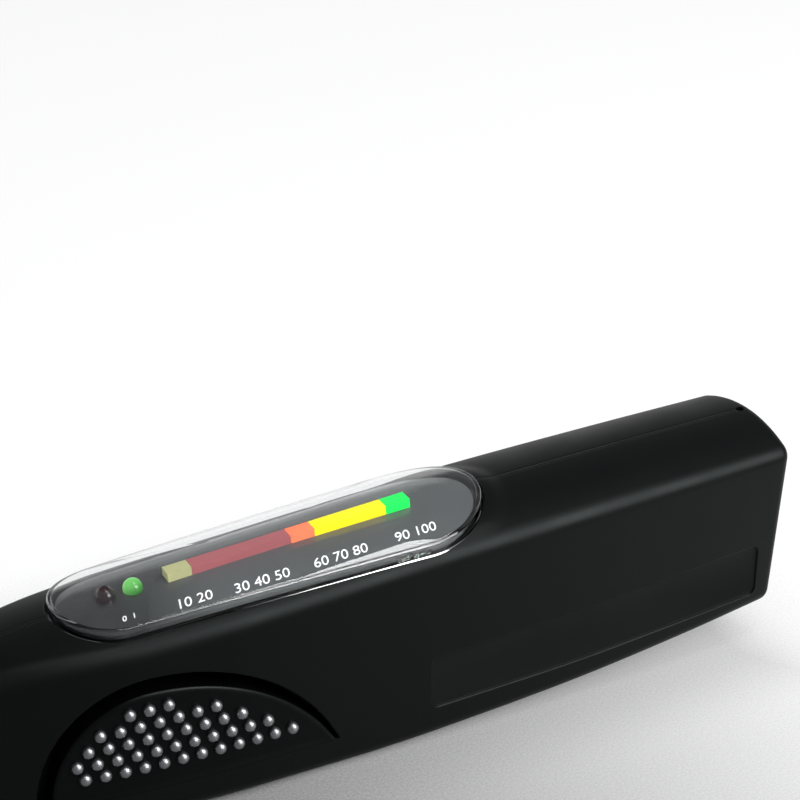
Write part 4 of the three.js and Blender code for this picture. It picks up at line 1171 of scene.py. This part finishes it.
def spring_mesh(front, rear):
    """The probe's return spring: one round wire, wound closer at both ends."""
    coil, wire, turns, turn_steps, sides, closing = 1.15, 0.2, 7, 28, 8, 0.045
    circle = [2 * math.pi * k / sides for k in range(sides)]
    rings = []
    for i in range(turns * turn_steps + 1):
        share = i / (turns * turn_steps)
        angle = 2 * math.pi * turns * share
        x = front + wire + (rear - front - 2 * wire) * (share - closing * math.sin(4 * math.pi * share) / 2)
        out = Vector((0, math.cos(angle), math.sin(angle)))
        rings.append([Vector((x, 0, 0)) + out * (coil + wire * math.cos(a)) + Vector((wire * math.sin(a), 0, 0))
                      for a in circle])
    return rings


spring_node = bpy.data.objects["probe_spring"]
spring_corners = [spring_node.matrix_world @ Vector(corner) for corner in spring_node.bound_box]
spring_front, spring_rear = min(p.x for p in spring_corners) / MM, max(p.x for p in spring_corners) / MM
spring_middle = sum(spring_corners, Vector()) / len(spring_corners) / MM
spring_rings = moved(spring_mesh(spring_front, spring_rear),
                     Matrix.Translation((0, spring_middle.y, spring_middle.z)))
probe_spring = set_down("probe_return_spring", solid_mesh("probe_return_spring", spring_rings))
fit_out(probe_spring, steel, "case", ["probe_spring"])
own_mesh(probe_spring)


# Electronics: a green board with a chip, a buzzer and the button's switch, and insulated wires to it.
# All of it is closed in by the case.
plastic = {"detail": 3, "metallic": 0}
board_green = uneven_finish("board_green", (0.01, 0.1, 0.045), (0.018, 0.14, 0.065), (0.3, 0.45), 900, **plastic)
moulded_black = uneven_finish(
    "component_black", (0.012, 0.012, 0.013), (0.02, 0.02, 0.021), (0.4, 0.55), 1500, **plastic)
wire_red = uneven_finish("wire_red", (0.32, 0.015, 0.012), (0.42, 0.025, 0.018), (0.35, 0.5), 1200, **plastic)
wire_black = uneven_finish("wire_black", (0.01, 0.01, 0.011), (0.018, 0.018, 0.019), (0.35, 0.5), 1200, **plastic)
dress_node("main_board", board_green)
dress_node("controller_chip", moulded_black, bevel=0.15)
dress_node("buzzer", moulded_black, bevel=0.3)
dress_node("power_switch", moulded_black, bevel=0.2)
dress_node("battery_lead_plus", wire_red)
dress_node("battery_lead_minus", wire_black)
dress_node("probe_cable", wire_black)


# Battery bay: three small cells in plain dark jackets, between two stamped spring contacts.
# The sliding lid under them has the case's grain.
jacket = uneven_finish("cell_jacket", (0.1, 0.105, 0.115), (0.14, 0.145, 0.155), (0.22, 0.34), 500, **plastic)
for i in (1, 2, 3):
    dress_node(f"battery_{i}", jacket, bevel=0.3)
dress_node("battery_contact_front", steel, bevel=0.08)
dress_node("battery_contact_rear", steel, bevel=0.08)
dress_node("battery_cover", case_finish, bevel=0.2)


# Screws: four plated cross-head screws, sunk in deep holes of the right half.
screw_zinc = uneven_finish("screw_zinc", (0.4, 0.4, 0.42), (0.55, 0.55, 0.57), (0.25, 0.4), 600, **metal)
for i in (1, 2, 3, 4):
    dress_node(f"shell_screw_{i}", screw_zinc, bevel=0.12)
